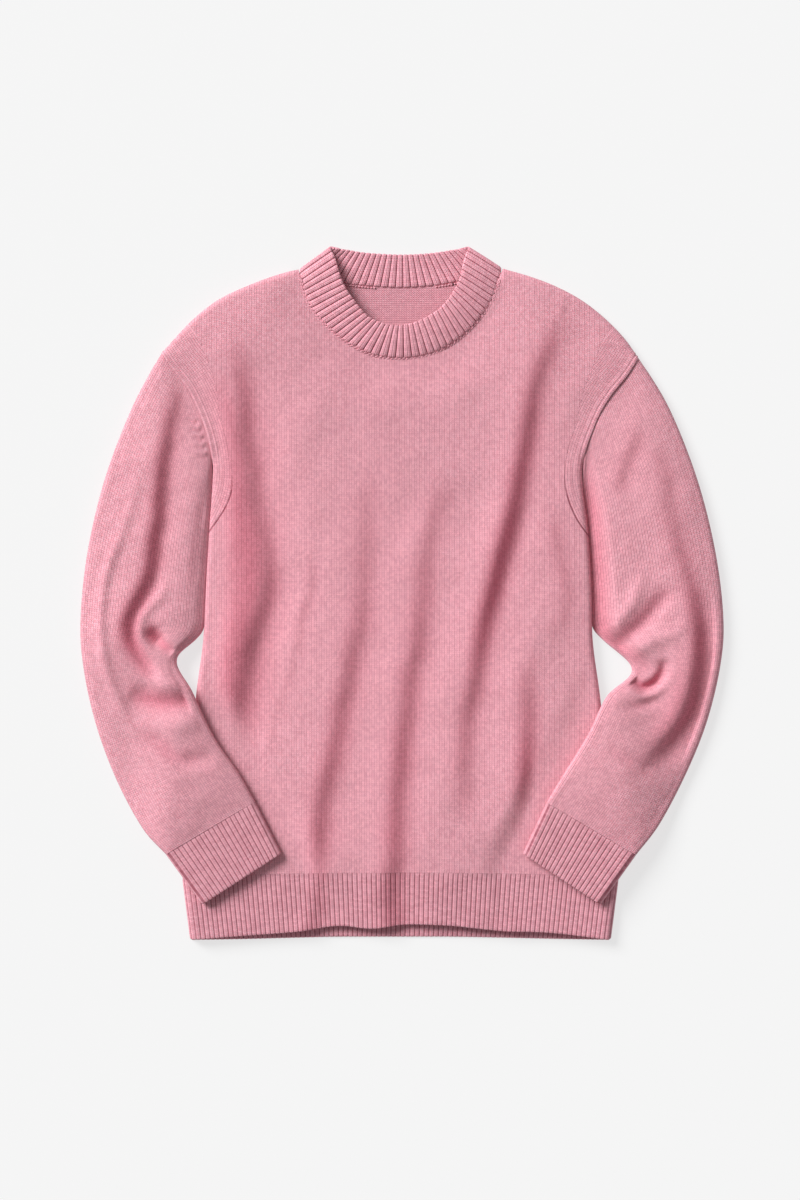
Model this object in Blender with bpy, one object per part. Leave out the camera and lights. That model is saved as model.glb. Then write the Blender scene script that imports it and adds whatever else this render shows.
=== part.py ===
# Crew-neck knit sweater laid on its back, both sleeves bent and folded onto the front.
# Z is up and the floor is at Z = 0. X runs across the body and Y from the hem to the collar.
# Every size below is in millimetres; mesh points are turned into metres as they are made.
from collections import namedtuple

import bpy
import numpy as np

MM = 0.001

# Cloth and seams
WALL = 2.6  # one layer of the plain knit
RIB_WALL = 2.2  # a ribbed band between its ribs
RIB_RISE = 1.1  # how far a rib stands over its groove
NECKBAND_WALL = 2.8
SEAM_GAP = 0.3  # half of the parting between two pieces sewn edge to edge
REST_GAP = 0.6  # between a sleeve and the front it lies on

# Body
EDGE_TOP = 12.7  # height of the front where it turns down to its side seams
BODY_CROWN = 5.4  # rise of the front from its edges to its middle
SIDE_TURN = 6.5  # radius of the turn from front to back at a side seam or a shoulder
SEAM_REACH = 9.0  # the front's last stretch before the collar and the armholes
SIDE_SEAM_Z = WALL + 0.35  # where the front ends, just above the back
HEM_SEAM_SIDE_Y = -283.5
HEM_SEAM_MIDDLE_Y = -279.0
NECK_GAP = 0.7  # parting between the neckband and the front or back
BACK_INSET = 0.8  # the back stops this far inside the outline of the front
HEM_DROP = 5.0  # the front hem settles this much towards its edge
HEM_CORNER_CUT = 0.6  # the hem's seam edge stands back this much more at the side seams
HEM_RIBS = 88
CUFF_RIBS = 19
NECKBAND_RIBS = 58
RIB_FLANKS = (0.0, 0.22, 0.78)  # across one rib: groove, then the two shoulders of the rib
NECK_CENTRE = (-2.0, 334.0)
NECK_RADIUS = 96.0

# The body's outline from the hem up to the shoulder tips and on to the collar.
Edge = namedtuple("Edge", "y left right")
BODY_SIDE = [
    Edge(-346, -212, 209),
    Edge(-312, -217, 214),
    Edge(-282, -220, 217),
    Edge(-200, -214, 209),
    Edge(-99, -206, 198),
    Edge(-45, -199, 191),
    Edge(0, -197, 190),
    Edge(70, -193, 185.5),
    Edge(110, -190.5, 181),
    Edge(139, -191, 183),
]
Seam = namedtuple("Seam", "left_x left_y right_x right_y")
ARMHOLE = [
    Seam(-191, 139, 183, 139),
    Seam(-195.5, 160, 190, 160),
    Seam(-203, 181, 200, 183),
    Seam(-216, 207, 211, 200),
    Seam(-231, 226, 225, 217),
    Seam(-241, 240.5, 237, 235.5),
]
SHOULDER = [
    Seam(-241, 240.5, 237, 235.5),
    Seam(-229, 254, 224, 254),
    Seam(-211, 273, 206, 273),
    Seam(-186, 293, 181, 293),
    Seam(-154, 308.5, 152, 308.5),
    Seam(-127, 318.5, 125, 318.5),
    Seam(-112, 323, 110, 323),
]
NECK_POINT = Seam(-103, 325.5, 100.5, 326.5)  # the front's corner between shoulder and collar
NECK_POINT_OUT = Seam(0.62, 0.78, -0.62, 0.78)  # the way it faces
NECK_POINT_CURL = 0.6
HemEdge = namedtuple("HemEdge", "x front_y back_y")
HEM_EDGE = [
    HemEdge(-212, -345.5, -346.3),
    HemEdge(-162, -341.5, -345.5),
    HemEdge(-105, -337, -344),
    HemEdge(-60, -331.5, -343),
    HemEdge(-31, -334, -343),
    HemEdge(0, -330.5, -343),
    HemEdge(45, -331, -343),
    HemEdge(101, -336.5, -344),
    HemEdge(145, -338, -345),
    HemEdge(209, -345.5, -346.3),
]

# Sections of the neckband, round the neck from its left fold: the sewn edge and the free edge.
Band = namedtuple("Band", "seam_x seam_y seam_z edge_x edge_y edge_z")
NECKBAND = [
    Band(-100, 326, 6.5, -72.5, 346, 8.0),
    Band(-98.5, 313, 11.8, -68, 333, 14.0),
    Band(-94, 297, 13.2, -62, 313, 16.2),
    Band(-79, 275, 13.4, -50, 293, 17.0),
    Band(-57, 255.5, 13.4, -34, 275, 17.0),
    Band(-32, 242, 13.4, -18, 268, 17.0),
    Band(-2, 237.5, 13.4, -1, 266.5, 17.0),
    Band(28, 242, 13.4, 18, 271, 17.0),
    Band(52, 254, 13.4, 37, 282, 17.0),
    Band(74, 274, 13.4, 51, 298, 17.0),
    Band(89, 296, 13.2, 59.5, 315, 16.2),
    Band(95, 313, 11.8, 63.5, 333, 14.0),
    Band(97, 327, 6.5, 67.5, 346, 8.0),
    Band(82, 322, 0.9, 57, 344.5, 1.6),
    Band(60, 315.5, 0.0, 42, 341.5, 0.0),
    Band(32, 310.5, 0.0, 22, 339, 0.0),
    Band(0, 308.5, 0.0, 0, 338, 0.0),
    Band(-32, 310, 0.0, -23, 339, 0.0),
    Band(-60, 313.5, 0.0, -44, 341, 0.0),
    Band(-84, 321.5, 0.9, -61, 344.5, 1.6),
]
FRONT_NECK = slice(1, 12)
BACK_NECK = slice(13, 20)

# Sections across each sleeve, from the armhole to the cuff: its edge towards the body, its outer
# edge, its thickness at the edges, its rise in the middle, and how far it lies up on the body.
Sleeve = namedtuple("Sleeve", "inner_x inner_y outer_x outer_y loft crown lift")
SLEEVES = {
    "left": [
        Sleeve(-191.6, 139, -241.8, 240.6, 12.7, 0.0, 0.0),
        Sleeve(-192.2, 95, -271, 185, 13.0, 4.0, 0.0),
        Sleeve(-194.8, 50, -298, 114, 13.2, 6.4, 0.0),
        Sleeve(-198.2, 5, -315, 42, 13.2, 7.0, 0.0),
        Sleeve(-200.8, -38, -322, -24, 13.2, 7.0, 0.0),
        Sleeve(-225, -66, -319.5, -72, 13.0, 6.6, 0.6),
        Sleeve(-209, -98, -307, -130, 12.6, 5.8, 1.0),
        Sleeve(-188, -142, -286, -187, 11.6, 4.6, 1.0),
        Sleeve(-163, -179, -260, -234, 10.9, 2.8, 1.0),
        Sleeve(-147, -207, -236, -260, 10.0, 0.4, 1.0),
    ],
    "right": [
        Sleeve(183.8, 139, 237.8, 235.6, 12.7, 0.0, 0.0),
        Sleeve(183.8, 95, 268, 185, 13.0, 4.0, 0.0),
        Sleeve(188.2, 50, 296, 114, 13.2, 6.4, 0.0),
        Sleeve(191.7, 5, 314, 42, 13.2, 7.0, 0.0),
        Sleeve(193.8, -37, 322, -24, 13.2, 7.0, 0.0),
        Sleeve(230, -75, 319, -72, 13.0, 6.6, 0.6),
        Sleeve(204, -103, 305, -130, 12.6, 5.8, 1.0),
        Sleeve(184, -143, 283, -184, 11.6, 4.6, 1.0),
        Sleeve(160, -182, 258, -230, 10.9, 2.8, 1.0),
        Sleeve(144.5, -208, 234, -260.5, 10.0, 0.4, 1.0),
    ],
}
Cuff = namedtuple("Cuff", "inner_x inner_y outer_x outer_y loft")
CUFFS = {
    "left": [Cuff(-146.8, -207.5, -235.6, -260.7, 8.2), Cuff(-121, -258.5, -200, -309.5, 8.0)],
    "right": [Cuff(144.2, -208.6, 233.6, -261.2, 8.2), Cuff(121, -258.5, 199, -309.5, 8.0)],
}
SIDE_SIGN = {"left": -1.0, "right": 1.0}

# Where a sleeve lies on the body, the front under it is pressed level.
Rest = namedtuple("Rest", "elbow_x elbow_y cuff_x cuff_y half_width")
RESTS = [Rest(-262, -100, -160, -286, 60), Rest(258, -100, 160, -286, 60)]
REST_FADE = 16.0
LIFT_REACH = 12.0  # a sleeve on the body stays level this far past the body's edge
LIFT_FADE = 44.0  # and then slopes down to the floor over this distance

# Long folds: the trough runs through three places, with a ridge beside it.
Fold = namedtuple(
    "Fold",
    "top_x top_y middle_x middle_y low_x low_y width depth ridge_offset ridge_width ridge_rise",
)
FRONT_FOLDS = [
    Fold(155, 271, 103, 78, 62, -186, 11, 7.4, -30, 14, 6.0),  # the main diagonal
    Fold(25, 54, 5, -112, -10, -346, 9, 6.0, -31, 14, 5.2),
    Fold(-40, 54, -57, -86, -87, -346, 9, 5.6, -27, 12, 4.8),
    Fold(-165, 238, -135, 20, -165, -150, 15, 5.4, -32, 16, 2.2),  # beside the left edge
    Fold(125, -86, 122, -220, 125, -346, 8, 6.4, -33, 14, 4.0),
    Fold(160, 250, 150, 60, 150, -60, 16, 0.0, 6, 16, 3.0),  # the swell right of the diagonal
]
SLEEVE_FOLDS = {
    "left": [
        Fold(-225, 188, -247, 65, -274, -42, 9, 7.2, -24, 13, 3.0),
        Fold(-204, 85, -203, 40, -206, -10, 7, 3.0, 0, 9, 0.0),
    ],
    "right": [
        Fold(206, 200, 197, 70, 198, -40, 11, 6.0, 24, 14, 2.0),
        Fold(280, 40, 302, -46, 262, -152, 10, 7.0, -22, 12, 3.0),
    ],
}
FOLD_FADE = 45.0  # a fold grows out of the flat cloth over this length
# Short creases at the elbows and forearms, straight from one end to the other.
Crease = namedtuple("Crease", "from_x from_y to_x to_y width depth")
SLEEVE_CREASES = {
    "left": [
        Crease(-250, -38, -226, -60, 6, 4.5),
        Crease(-268, -101, -208, -101, 8, 3.6),
        Crease(-236, -165, -200, -170, 10, 2.4),
    ],
    "right": [
        Crease(222, -44, 262, -20, 6, 4.5),
        Crease(232, -78, 256, -83, 7, 3.8),
        Crease(196, -192, 226, -205, 9, 2.0),
    ],
}

# Mesh density
FRONT_SHOULDER_COLUMNS = 7
FRONT_NECK_COLUMNS = 18
FRONT_ROWS = 24
TURN_STEPS = 3
SIDE_BLEND = 4  # how quickly the grid's columns straighten away from the sides
SLEEVE_ROWS = 20
SLEEVE_TOP_COLUMNS = 13
SLEEVE_UNDER_COLUMNS = 4
NECKBAND_ROWS = 3
BACK_EDGE_STEPS = 18
BACK_NECK_STEPS = 10

KNIT_COLOUR = (222, 158, 169)
RIB_COLOUR = (207, 139, 151)


def smooth(knots, values, at):
    """Values read from a smooth curve through the knots."""
    knots = np.asarray(knots, float)
    values = np.asarray(values, float)
    at = np.clip(np.asarray(at, float), knots[0], knots[-1])
    slopes = np.gradient(values, knots, axis=0)
    low = np.clip(np.searchsorted(knots, at) - 1, 0, len(knots) - 2)
    gap = knots[low + 1] - knots[low]
    t = (at - knots[low]) / gap
    if values.ndim > 1:
        t = t[..., None]
        gap = gap[..., None]
    ease = t * t * (3 - 2 * t)
    leave = t * (1 - t) ** 2 * gap
    arrive = t * t * (t - 1) * gap
    start = values[low] * (1 - ease) + slopes[low] * leave
    return start + values[low + 1] * ease + slopes[low + 1] * arrive


def lengths(points):
    steps = np.linalg.norm(np.diff(points, axis=0), axis=1)
    return np.concatenate([[0.0], np.cumsum(steps)])


def spread(points, count):
    """Evenly spaced places on the smooth curve through the points."""
    points = np.asarray(points, float)
    reach = lengths(points)
    return smooth(reach, points, np.linspace(0, reach[-1], count))


def fade(x):
    x = np.clip(x, 0.0, 1.0)
    return x * x * (3 - 2 * x)


def bell(x, width):
    return np.exp(-((x / width) ** 2))


def outline_at(y):
    """Left and right edge of the body at height y, up to the collar."""
    left = [(row.y, row.left) for row in BODY_SIDE[:-1]]
    right = [(row.y, row.right) for row in BODY_SIDE[:-1]]
    left += [(row.left_y, row.left_x) for row in ARMHOLE[:-1] + SHOULDER]
    right += [(row.right_y, row.right_x) for row in ARMHOLE[:-1] + SHOULDER]
    left = np.array(left)
    right = np.array(right)
    return np.interp(y, left[:, 0], left[:, 1]), np.interp(y, right[:, 0], right[:, 1])


def fold_height(fold, x, y):
    levels = np.array([fold.low_y, fold.middle_y, fold.top_y], float)
    line = np.array([fold.low_x, fold.middle_x, fold.top_x], float)
    bend = np.polyfit(levels, line, 2)
    across = x - np.polyval(bend, np.clip(y, fold.low_y, fold.top_y))
    grown = fade((fold.top_y - y) / FOLD_FADE)
    if fold.low_y > HEM_SEAM_SIDE_Y:
        grown = grown * fade((y - fold.low_y) / FOLD_FADE)
    trough = -fold.depth * bell(across, fold.width)
    ridge = fold.ridge_rise * bell(across - fold.ridge_offset, fold.ridge_width)
    return grown * (trough + ridge)


def crease_height(crease, x, y):
    run = np.array([crease.to_x - crease.from_x, crease.to_y - crease.from_y])
    reach = np.hypot(*run)
    along = ((x - crease.from_x) * run[0] + (y - crease.from_y) * run[1]) / reach
    across = ((x - crease.from_x) * run[1] - (y - crease.from_y) * run[0]) / reach
    beyond = np.maximum(0.0, np.abs(along - reach / 2) - reach / 2)
    return -crease.depth * bell(across, crease.width) * bell(beyond, crease.width)


def pressed(x, y):
    """1 where a sleeve presses the front level, 0 away from it."""
    most = np.zeros(np.shape(x))
    for rest in RESTS:
        run = np.array([rest.cuff_x - rest.elbow_x, rest.cuff_y - rest.elbow_y], float)
        along = ((x - rest.elbow_x) * run[0] + (y - rest.elbow_y) * run[1]) / (run @ run)
        along = np.clip(along, 0.0, 1.0)
        away = np.hypot(x - rest.elbow_x - along * run[0], y - rest.elbow_y - along * run[1])
        most = np.maximum(most, 1 - fade((away - rest.half_width) / REST_FADE))
    return most


def front_top(x, y):
    """Height of the front's upper face, with its folds, from the collar to the hem's free edge."""
    left, right = outline_at(y)
    across = (2 * x - left - right) / (right - left)
    crown = BODY_CROWN * (1 - np.clip(np.abs(across), 0, 1) ** 4)
    from_neck = np.hypot(x - NECK_CENTRE[0], y - NECK_CENTRE[1]) - NECK_RADIUS
    crown = crown * fade(from_neck / 60.0)
    inset = (1 - np.abs(across)) * (right - left) / 2
    folds = sum(fold_height(fold, x, y) for fold in FRONT_FOLDS)
    folds = folds * fade(inset / 30.0) * fade(from_neck / 25.0)
    drop = HEM_DROP * fade((HEM_SEAM_SIDE_Y - y) / 60.0) * (1 - np.abs(across) ** 4)
    return EDGE_TOP + (crown + folds) * (1 - pressed(x, y)) - drop


def sleeve_rest(side, x, y, lift):
    """Height of whatever a sleeve lies on: the floor, or the front with a slope beside it."""
    left, right = outline_at(y)
    outside = left - x if side == "left" else x - right
    slope = 1 - fade((outside - LIFT_REACH) / LIFT_FADE)
    return np.clip(lift, 0, 1) * (EDGE_TOP + REST_GAP) * slope


def unit(vector):
    return vector / np.linalg.norm(vector)


def plan_normals(points):
    """Unit vectors square to a curve in the plan, to the left of its direction."""
    step = np.gradient(points, axis=0)
    square = np.stack([-step[:, 1], step[:, 0]], axis=1)
    return square / np.linalg.norm(square, axis=1, keepdims=True)


def patch(bottom, top, left, right):
    """A plan grid filled in between four edges, rows from the bottom to the top."""
    p = np.linspace(0, 1, len(bottom))[None, :, None]
    q = np.linspace(0, 1, len(left))[:, None, None]
    straight = (1 - q) * bottom[None] + q * top[None]
    left_bend = left[:, None] - straight[:, :1]
    right_bend = right[:, None] - straight[:, -1:]
    return straight + left_bend * (1 - p) ** SIDE_BLEND + right_bend * p**SIDE_BLEND


def turned(steps, curl, height):
    """Reach and fall of each step past a base line: rolled down at curl 1, level at curl 0."""
    share = (np.arange(1, steps + 1) / steps)[:, None]
    arc = np.arccos(np.clip(1 - (height - SIDE_SEAM_Z) / SIDE_TURN, -1, 1))
    reach = curl * SIDE_TURN * np.sin(arc * share) + (1 - curl) * SEAM_REACH * share
    fall = curl * SIDE_TURN * (1 - np.cos(arc * share))
    return reach, fall


def body_edge(side, rows):
    """The side and armhole of the front, from the hem seam to the shoulder tip, and its curl."""
    points = [(getattr(row, side), row.y) for row in BODY_SIDE[2:-1]]
    points += [(getattr(row, side + "_x"), getattr(row, side + "_y")) for row in ARMHOLE]
    points[0] = (points[0][0], HEM_SEAM_SIDE_Y)
    points = spread(points, rows)
    return points, fade((146 - points[:, 1]) / 34)


def shoulder_edge(side, count):
    points = [(getattr(row, side + "_x"), getattr(row, side + "_y")) for row in SHOULDER]
    return spread(points, count)


def neck_seam(rows, count, gap):
    """The edge of the front or back along the neckband, kept clear of it."""
    points = spread([(row.seam_x, row.seam_y) for row in rows], count)
    return points - gap * plan_normals(points)


def hem_seam(count):
    left = BODY_SIDE[2].left
    right = BODY_SIDE[2].right
    x = np.linspace(left, right, count)
    bow = 1 - ((2 * x - left - right) / (right - left)) ** 2
    return np.stack([x, HEM_SEAM_SIDE_Y + (HEM_SEAM_MIDDLE_Y - HEM_SEAM_SIDE_Y) * bow], axis=1)


def front_surface():
    """Upper face of the front: a grid with its sides and shoulders rolled down to the back."""
    across = 2 * FRONT_SHOULDER_COLUMNS + FRONT_NECK_COLUMNS
    left, left_curl = body_edge("left", FRONT_ROWS + 1)
    right, right_curl = body_edge("right", FRONT_ROWS + 1)
    left_shoulder = shoulder_edge("left", FRONT_SHOULDER_COLUMNS + 1)
    right_shoulder = shoulder_edge("right", FRONT_SHOULDER_COLUMNS + 1)[::-1]
    neck = neck_seam(NECKBAND[FRONT_NECK], FRONT_NECK_COLUMNS - 3, NECK_GAP)
    left_point = [(NECK_POINT.left_x, NECK_POINT.left_y)]
    right_point = [(NECK_POINT.right_x, NECK_POINT.right_y)]
    top = np.concatenate([left_shoulder, left_point, neck, right_point, right_shoulder])
    corner = FRONT_SHOULDER_COLUMNS + 1
    top_curl = np.zeros(len(top))
    top_curl[:corner] = top_curl[-corner:] = 1
    top_curl[corner] = top_curl[-corner - 1] = NECK_POINT_CURL
    left_out = plan_normals(left)
    right_out = -plan_normals(right)
    top_out = np.concatenate(
        [
            plan_normals(left_shoulder),
            [(NECK_POINT_OUT.left_x, NECK_POINT_OUT.left_y)],
            plan_normals(neck),
            [(NECK_POINT_OUT.right_x, NECK_POINT_OUT.right_y)],
            plan_normals(right_shoulder),
        ]
    )
    top_out[0] = unit(left[-1] - left[-2])
    top_out[-1] = unit(right[-1] - right[-2])
    left_out[0] = (-1, 0)
    right_out[0] = (1, 0)

    def inset(curl):
        return (curl * SIDE_TURN + (1 - curl) * SEAM_REACH)[:, None]

    seam_cut = 2 * SEAM_GAP * (1 - left_curl)[:, None]
    left = left - left_out * (inset(left_curl) + seam_cut)
    seam_cut = 2 * SEAM_GAP * (1 - right_curl)[:, None]
    right = right - right_out * (inset(right_curl) + seam_cut)
    top = top - top_out * inset(top_curl)
    corner_left = top[0] - left_out[-1] * (SEAM_REACH + 2 * SEAM_GAP)
    corner_right = top[-1] - right_out[-1] * (SEAM_REACH + 2 * SEAM_GAP)
    left[-1] = top[0] = corner_left
    right[-1] = top[-1] = corner_right
    bottom = hem_seam(across + 1)
    bottom[0] = left[0]
    bottom[-1] = right[0]
    plan = patch(bottom, top, left, right)
    height = front_top(plan[..., 0], plan[..., 1])
    grid = np.concatenate([plan, height[..., None]], axis=2)
    grid = rolled(grid, "top", top_out, top_curl)
    left_out = np.concatenate([left_out, np.repeat(left_out[-1:], TURN_STEPS, axis=0)])
    right_out = np.concatenate([right_out, np.repeat(right_out[-1:], TURN_STEPS, axis=0)])
    left_curl = np.concatenate([left_curl, np.zeros(TURN_STEPS)])
    right_curl = np.concatenate([right_curl, np.zeros(TURN_STEPS)])
    grid = rolled(grid, "left", left_out, left_curl)
    return rolled(grid, "right", right_out, right_curl)


def rolled(grid, edge, outward, curl):
    """The grid with more rows or columns past one edge, rolled down where curl is 1."""
    base = {"top": grid[-1], "left": grid[:, 0], "right": grid[:, -1]}[edge]
    reach, fall = turned(TURN_STEPS, curl[None], base[None, :, 2])
    more = np.repeat(base[None], TURN_STEPS, axis=0)
    more[..., :2] += reach[..., None] * outward[None]
    more[..., 2] -= fall
    if edge == "top":
        return np.concatenate([grid, more], axis=0)
    more = more.transpose(1, 0, 2)
    if edge == "left":
        return np.concatenate([more[:, ::-1], grid], axis=1)
    return np.concatenate([grid, more], axis=1)


def back_outline():
    """The back's edge, round from the hem seam: side, armhole, shoulder and shallow neckline."""
    left = body_edge("left", BACK_EDGE_STEPS)[0]
    right = body_edge("right", BACK_EDGE_STEPS)[0]
    left = left - plan_normals(left) * BACK_INSET
    right = right + plan_normals(right) * BACK_INSET
    neck = neck_seam(NECKBAND[BACK_NECK][::-1], BACK_NECK_STEPS, NECK_GAP)
    left_shoulder = shoulder_edge("left", FRONT_SHOULDER_COLUMNS + 1)[1:]
    right_shoulder = shoulder_edge("right", FRONT_SHOULDER_COLUMNS + 1)[1:]
    left_shoulder = left_shoulder - plan_normals(left_shoulder) * BACK_INSET
    right_shoulder = right_shoulder + plan_normals(right_shoulder) * BACK_INSET
    hem = hem_seam(BACK_EDGE_STEPS)[-2:0:-1]
    return np.concatenate([left, left_shoulder, neck, right_shoulder[::-1], right[::-1], hem])


def rib_stations(ribs, low, high):
    """Places across a ribbed band, and 1 on a rib or 0 in a groove at each."""
    starts = np.arange(ribs)[:, None] + np.array(RIB_FLANKS)[None]
    share = np.append(starts.ravel(), ribs) / ribs
    raised = np.append(np.tile([0.0, 1.0, 1.0], ribs), 0.0)
    return low + (high - low) * share, raised


def hem_front_surface():
    """Plain face under the ribs of the front hem, with the height of its ribs."""
    bottom_y = [row.front_y for row in HEM_EDGE]
    bottom_x = [row.x for row in HEM_EDGE]
    x_share, raised = rib_stations(HEM_RIBS, 0, 1)
    rows = []
    for level, inset in ((0, SIDE_TURN), (1, SIDE_TURN)):
        seam = hem_seam(2)
        left, right = (seam[0, 0], seam[1, 0]) if level == 0 else (bottom_x[0], bottom_x[-1])
        x = left + inset + (right - left - 2 * inset) * x_share
        middle = 1 - ((2 * x - left - right) / (right - left)) ** 2
        rise = HEM_SEAM_MIDDLE_Y - HEM_SEAM_SIDE_Y
        seam_y = HEM_SEAM_SIDE_Y + rise * middle - SEAM_GAP - HEM_CORNER_CUT * (1 - middle) ** 4
        y = seam_y if level == 0 else smooth(bottom_x, bottom_y, x)
        rows.append(np.stack([x, y, front_top(x, y) - RIB_RISE], axis=1))
    grid = np.array(rows[::-1])
    flat = np.ones(len(grid))
    outward = np.tile([-1.0, 0.0], (len(grid), 1))
    grid = rolled(grid, "left", outward, flat)
    grid = rolled(grid, "right", -outward, flat)
    raised = np.concatenate([np.zeros(TURN_STEPS), raised, np.zeros(TURN_STEPS)])
    return grid, np.tile(raised * RIB_RISE, (len(grid), 1))


def hem_back_outline():
    seam = hem_seam(BACK_EDGE_STEPS) - (0, 2 * SEAM_GAP)
    x = [row.x for row in HEM_EDGE]
    edge = spread(np.stack([x, [row.back_y for row in HEM_EDGE]], axis=1), BACK_EDGE_STEPS)
    outline = np.concatenate([seam, edge[::-1]])
    outline[[0, -1], 0] += BACK_INSET
    outline[[BACK_EDGE_STEPS - 1, BACK_EDGE_STEPS], 0] -= BACK_INSET
    return outline


def tube_surface(side, sections, bow, top_share, raised, under_columns):
    """Outer face of a flattened tube: over the top from its inner edge, round, and back under."""
    folds = SLEEVE_FOLDS[side]
    creases = SLEEVE_CREASES[side]
    half_turn = np.radians([45.0, 0.0, -45.0])
    rings = []
    for section, bowed in zip(sections, bow):
        inner = np.array([section.inner_x, section.inner_y])
        outer = np.array([section.outer_x, section.outer_y])
        width = np.linalg.norm(outer - inner)
        outward = (outer - inner) / width
        radius = section.loft / 2

        def place(distance):
            share = distance / width
            plan = inner + outward * distance[:, None]
            return plan + bowed * np.array([bow_at(share) for bow_at in ARMHOLE_BOW[side]]).T

        top_plan = place(radius + (width - 2 * radius) * top_share)
        under_share = np.linspace(1, 0, under_columns + 1)
        under_plan = place(radius + (width - 2 * radius) * under_share)
        under = sleeve_rest(side, under_plan[:, 0], under_plan[:, 1], section.lift)
        base = sleeve_rest(side, top_plan[:, 0], top_plan[:, 1], section.lift)
        swell = section.crown * (1 - np.abs(2 * top_share - 1) ** 2.5)
        x, y = top_plan.T
        dent = sum(fold_height(fold, x, y) for fold in folds)
        dent = dent + sum(crease_height(crease, x, y) for crease in creases)
        dent = dent * fade(section.crown / 2.5) * fade(np.minimum(top_share, 1 - top_share) / 0.12)
        top = base + section.loft + swell + dent
        far = place(width - radius + radius * np.cos(half_turn))
        far_z = base[-1] + radius + radius * np.sin(half_turn)
        near = place(radius - radius * np.cos(half_turn[::-1]))
        near_z = base[0] + radius + radius * np.sin(half_turn[::-1])
        plan = np.concatenate([top_plan, far, under_plan, near])
        z = np.concatenate([top, far_z, under, near_z])
        rings.append(np.concatenate([plan, z[:, None]], axis=1))
    rest_of_ring = len(rings[0]) - len(raised)
    relief = np.tile(np.concatenate([raised, np.zeros(rest_of_ring)]), (len(rings), 1))
    return np.array(rings), relief


def armhole_bow(side):
    """How far the armhole seam bows from the straight line between its ends, in x and in y."""
    points = [(getattr(row, side + "_x"), getattr(row, side + "_y")) for row in ARMHOLE]
    first = SLEEVES[side][0]
    start = np.array([first.inner_x, first.inner_y])
    end = np.array([first.outer_x, first.outer_y])
    points = np.array(points)
    run = end - start
    share = ((points - start) @ run) / (run @ run)
    share[0] = 0
    share[-1] = 1
    off = points - start - share[:, None] * run
    off[0] = off[-1] = 0
    off[1:-1] += SEAM_GAP * np.array([SIDE_SIGN[side], 0.2])
    return (
        lambda at: smooth(share, off[:, 0], at),
        lambda at: smooth(share, off[:, 1], at),
    )


ARMHOLE_BOW = {side: armhole_bow(side) for side in SIDE_SIGN}


def sleeve_surface(side):
    table = SLEEVES[side]
    at = np.linspace(0, len(table) - 1, SLEEVE_ROWS + 1)
    sections = [Sleeve(*row) for row in smooth(np.arange(len(table)), np.array(table), at)]
    bow = (1 - fade(at / 2.2)) ** 1.5
    top_share = np.linspace(0, 1, SLEEVE_TOP_COLUMNS + 1)
    return tube_surface(
        side, sections, bow, top_share, np.zeros(len(top_share)), SLEEVE_UNDER_COLUMNS
    )


def cuff_surface(side):
    top_share, raised = rib_stations(CUFF_RIBS, 0, 1)
    sections = [
        Sleeve(row.inner_x, row.inner_y, row.outer_x, row.outer_y, row.loft, 0.0, 1.0)
        for row in CUFFS[side]
    ]
    return tube_surface(side, sections, [0, 0], top_share, raised * RIB_RISE, 8)


def neckband_surface():
    """Outer face of the neckband, closed round the neck, and its ribs on the faces that show."""
    table = np.array(NECKBAND + NECKBAND[:1], float)
    wrapped = np.concatenate([table[-3:-1], table, table[1:3]])
    reach = lengths(wrapped[:, :3] * 0.5 + wrapped[:, 3:] * 0.5)
    share, raised = rib_stations(NECKBAND_RIBS, reach[2], reach[-3])
    around = smooth(reach, wrapped, share[:-1])
    around[:, 2::3] = np.maximum(around[:, 2::3], 0)
    raised = raised[:-1] * RIB_RISE
    across = np.linspace(0, 1, NECKBAND_ROWS)[:, None, None]
    grid = around[None, :, :3] * (1 - across) + around[None, :, 3:] * across
    facing_up = fade((grid[..., 2].mean(axis=0) - 4.0) / 4.0)
    return grid, raised * facing_up, raised * (1 - facing_up)


def normals(grid, closed):
    """Unit normals of a grid of points, up where columns run along +X and rows along +Y."""
    along_rows = np.gradient(grid, axis=0)
    if closed:
        along_columns = np.roll(grid, -1, axis=1) - np.roll(grid, 1, axis=1)
    else:
        along_columns = np.gradient(grid, axis=1)
    square = np.cross(along_columns, along_rows)
    return square / np.linalg.norm(square, axis=2, keepdims=True)


def walls(grid, wall, closed=False, raised=0.0, raised_inside=0.0):
    """Outer and inner points of a cloth wall on a surface, ribs standing out of its outer face."""
    out = normals(grid, closed)
    raised = np.broadcast_to(raised, grid.shape[:2])[..., None]
    raised_inside = np.broadcast_to(raised_inside, grid.shape[:2])[..., None]
    return grid + out * raised, grid - out * (wall + raised_inside)


def wall_faces(rows, columns, closed):
    """Quads of both faces of a wall and of its free edges."""
    inner = rows * columns
    last = columns if closed else columns - 1

    def at(row, column):
        return row * columns + column % columns

    faces = []
    for row in range(rows - 1):
        for column in range(last):
            quad = [at(row, column), at(row, column + 1)]
            quad += [at(row + 1, column + 1), at(row + 1, column)]
            faces.append(quad)
            faces.append([inner + corner for corner in reversed(quad)])
    for column in range(last):
        low = (at(0, column), at(0, column + 1))
        high = (at(rows - 1, column), at(rows - 1, column + 1))
        faces.append([inner + low[0], inner + low[1], low[1], low[0]])
        faces.append([high[0], high[1], inner + high[1], inner + high[0]])
    if not closed:
        for row in range(rows - 1):
            left = (at(row, 0), at(row + 1, 0))
            right = (at(row, columns - 1), at(row + 1, columns - 1))
            faces.append([left[0], left[1], inner + left[1], inner + left[0]])
            faces.append([inner + right[0], inner + right[1], right[1], right[0]])
    return faces


def add_wall(name, outer, inner, colour, closed=False):
    rows, columns = outer.shape[:2]
    points = np.concatenate([outer.reshape(-1, 3), inner.reshape(-1, 3)])
    add_piece(name, points, wall_faces(rows, columns, closed), colour)


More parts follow.
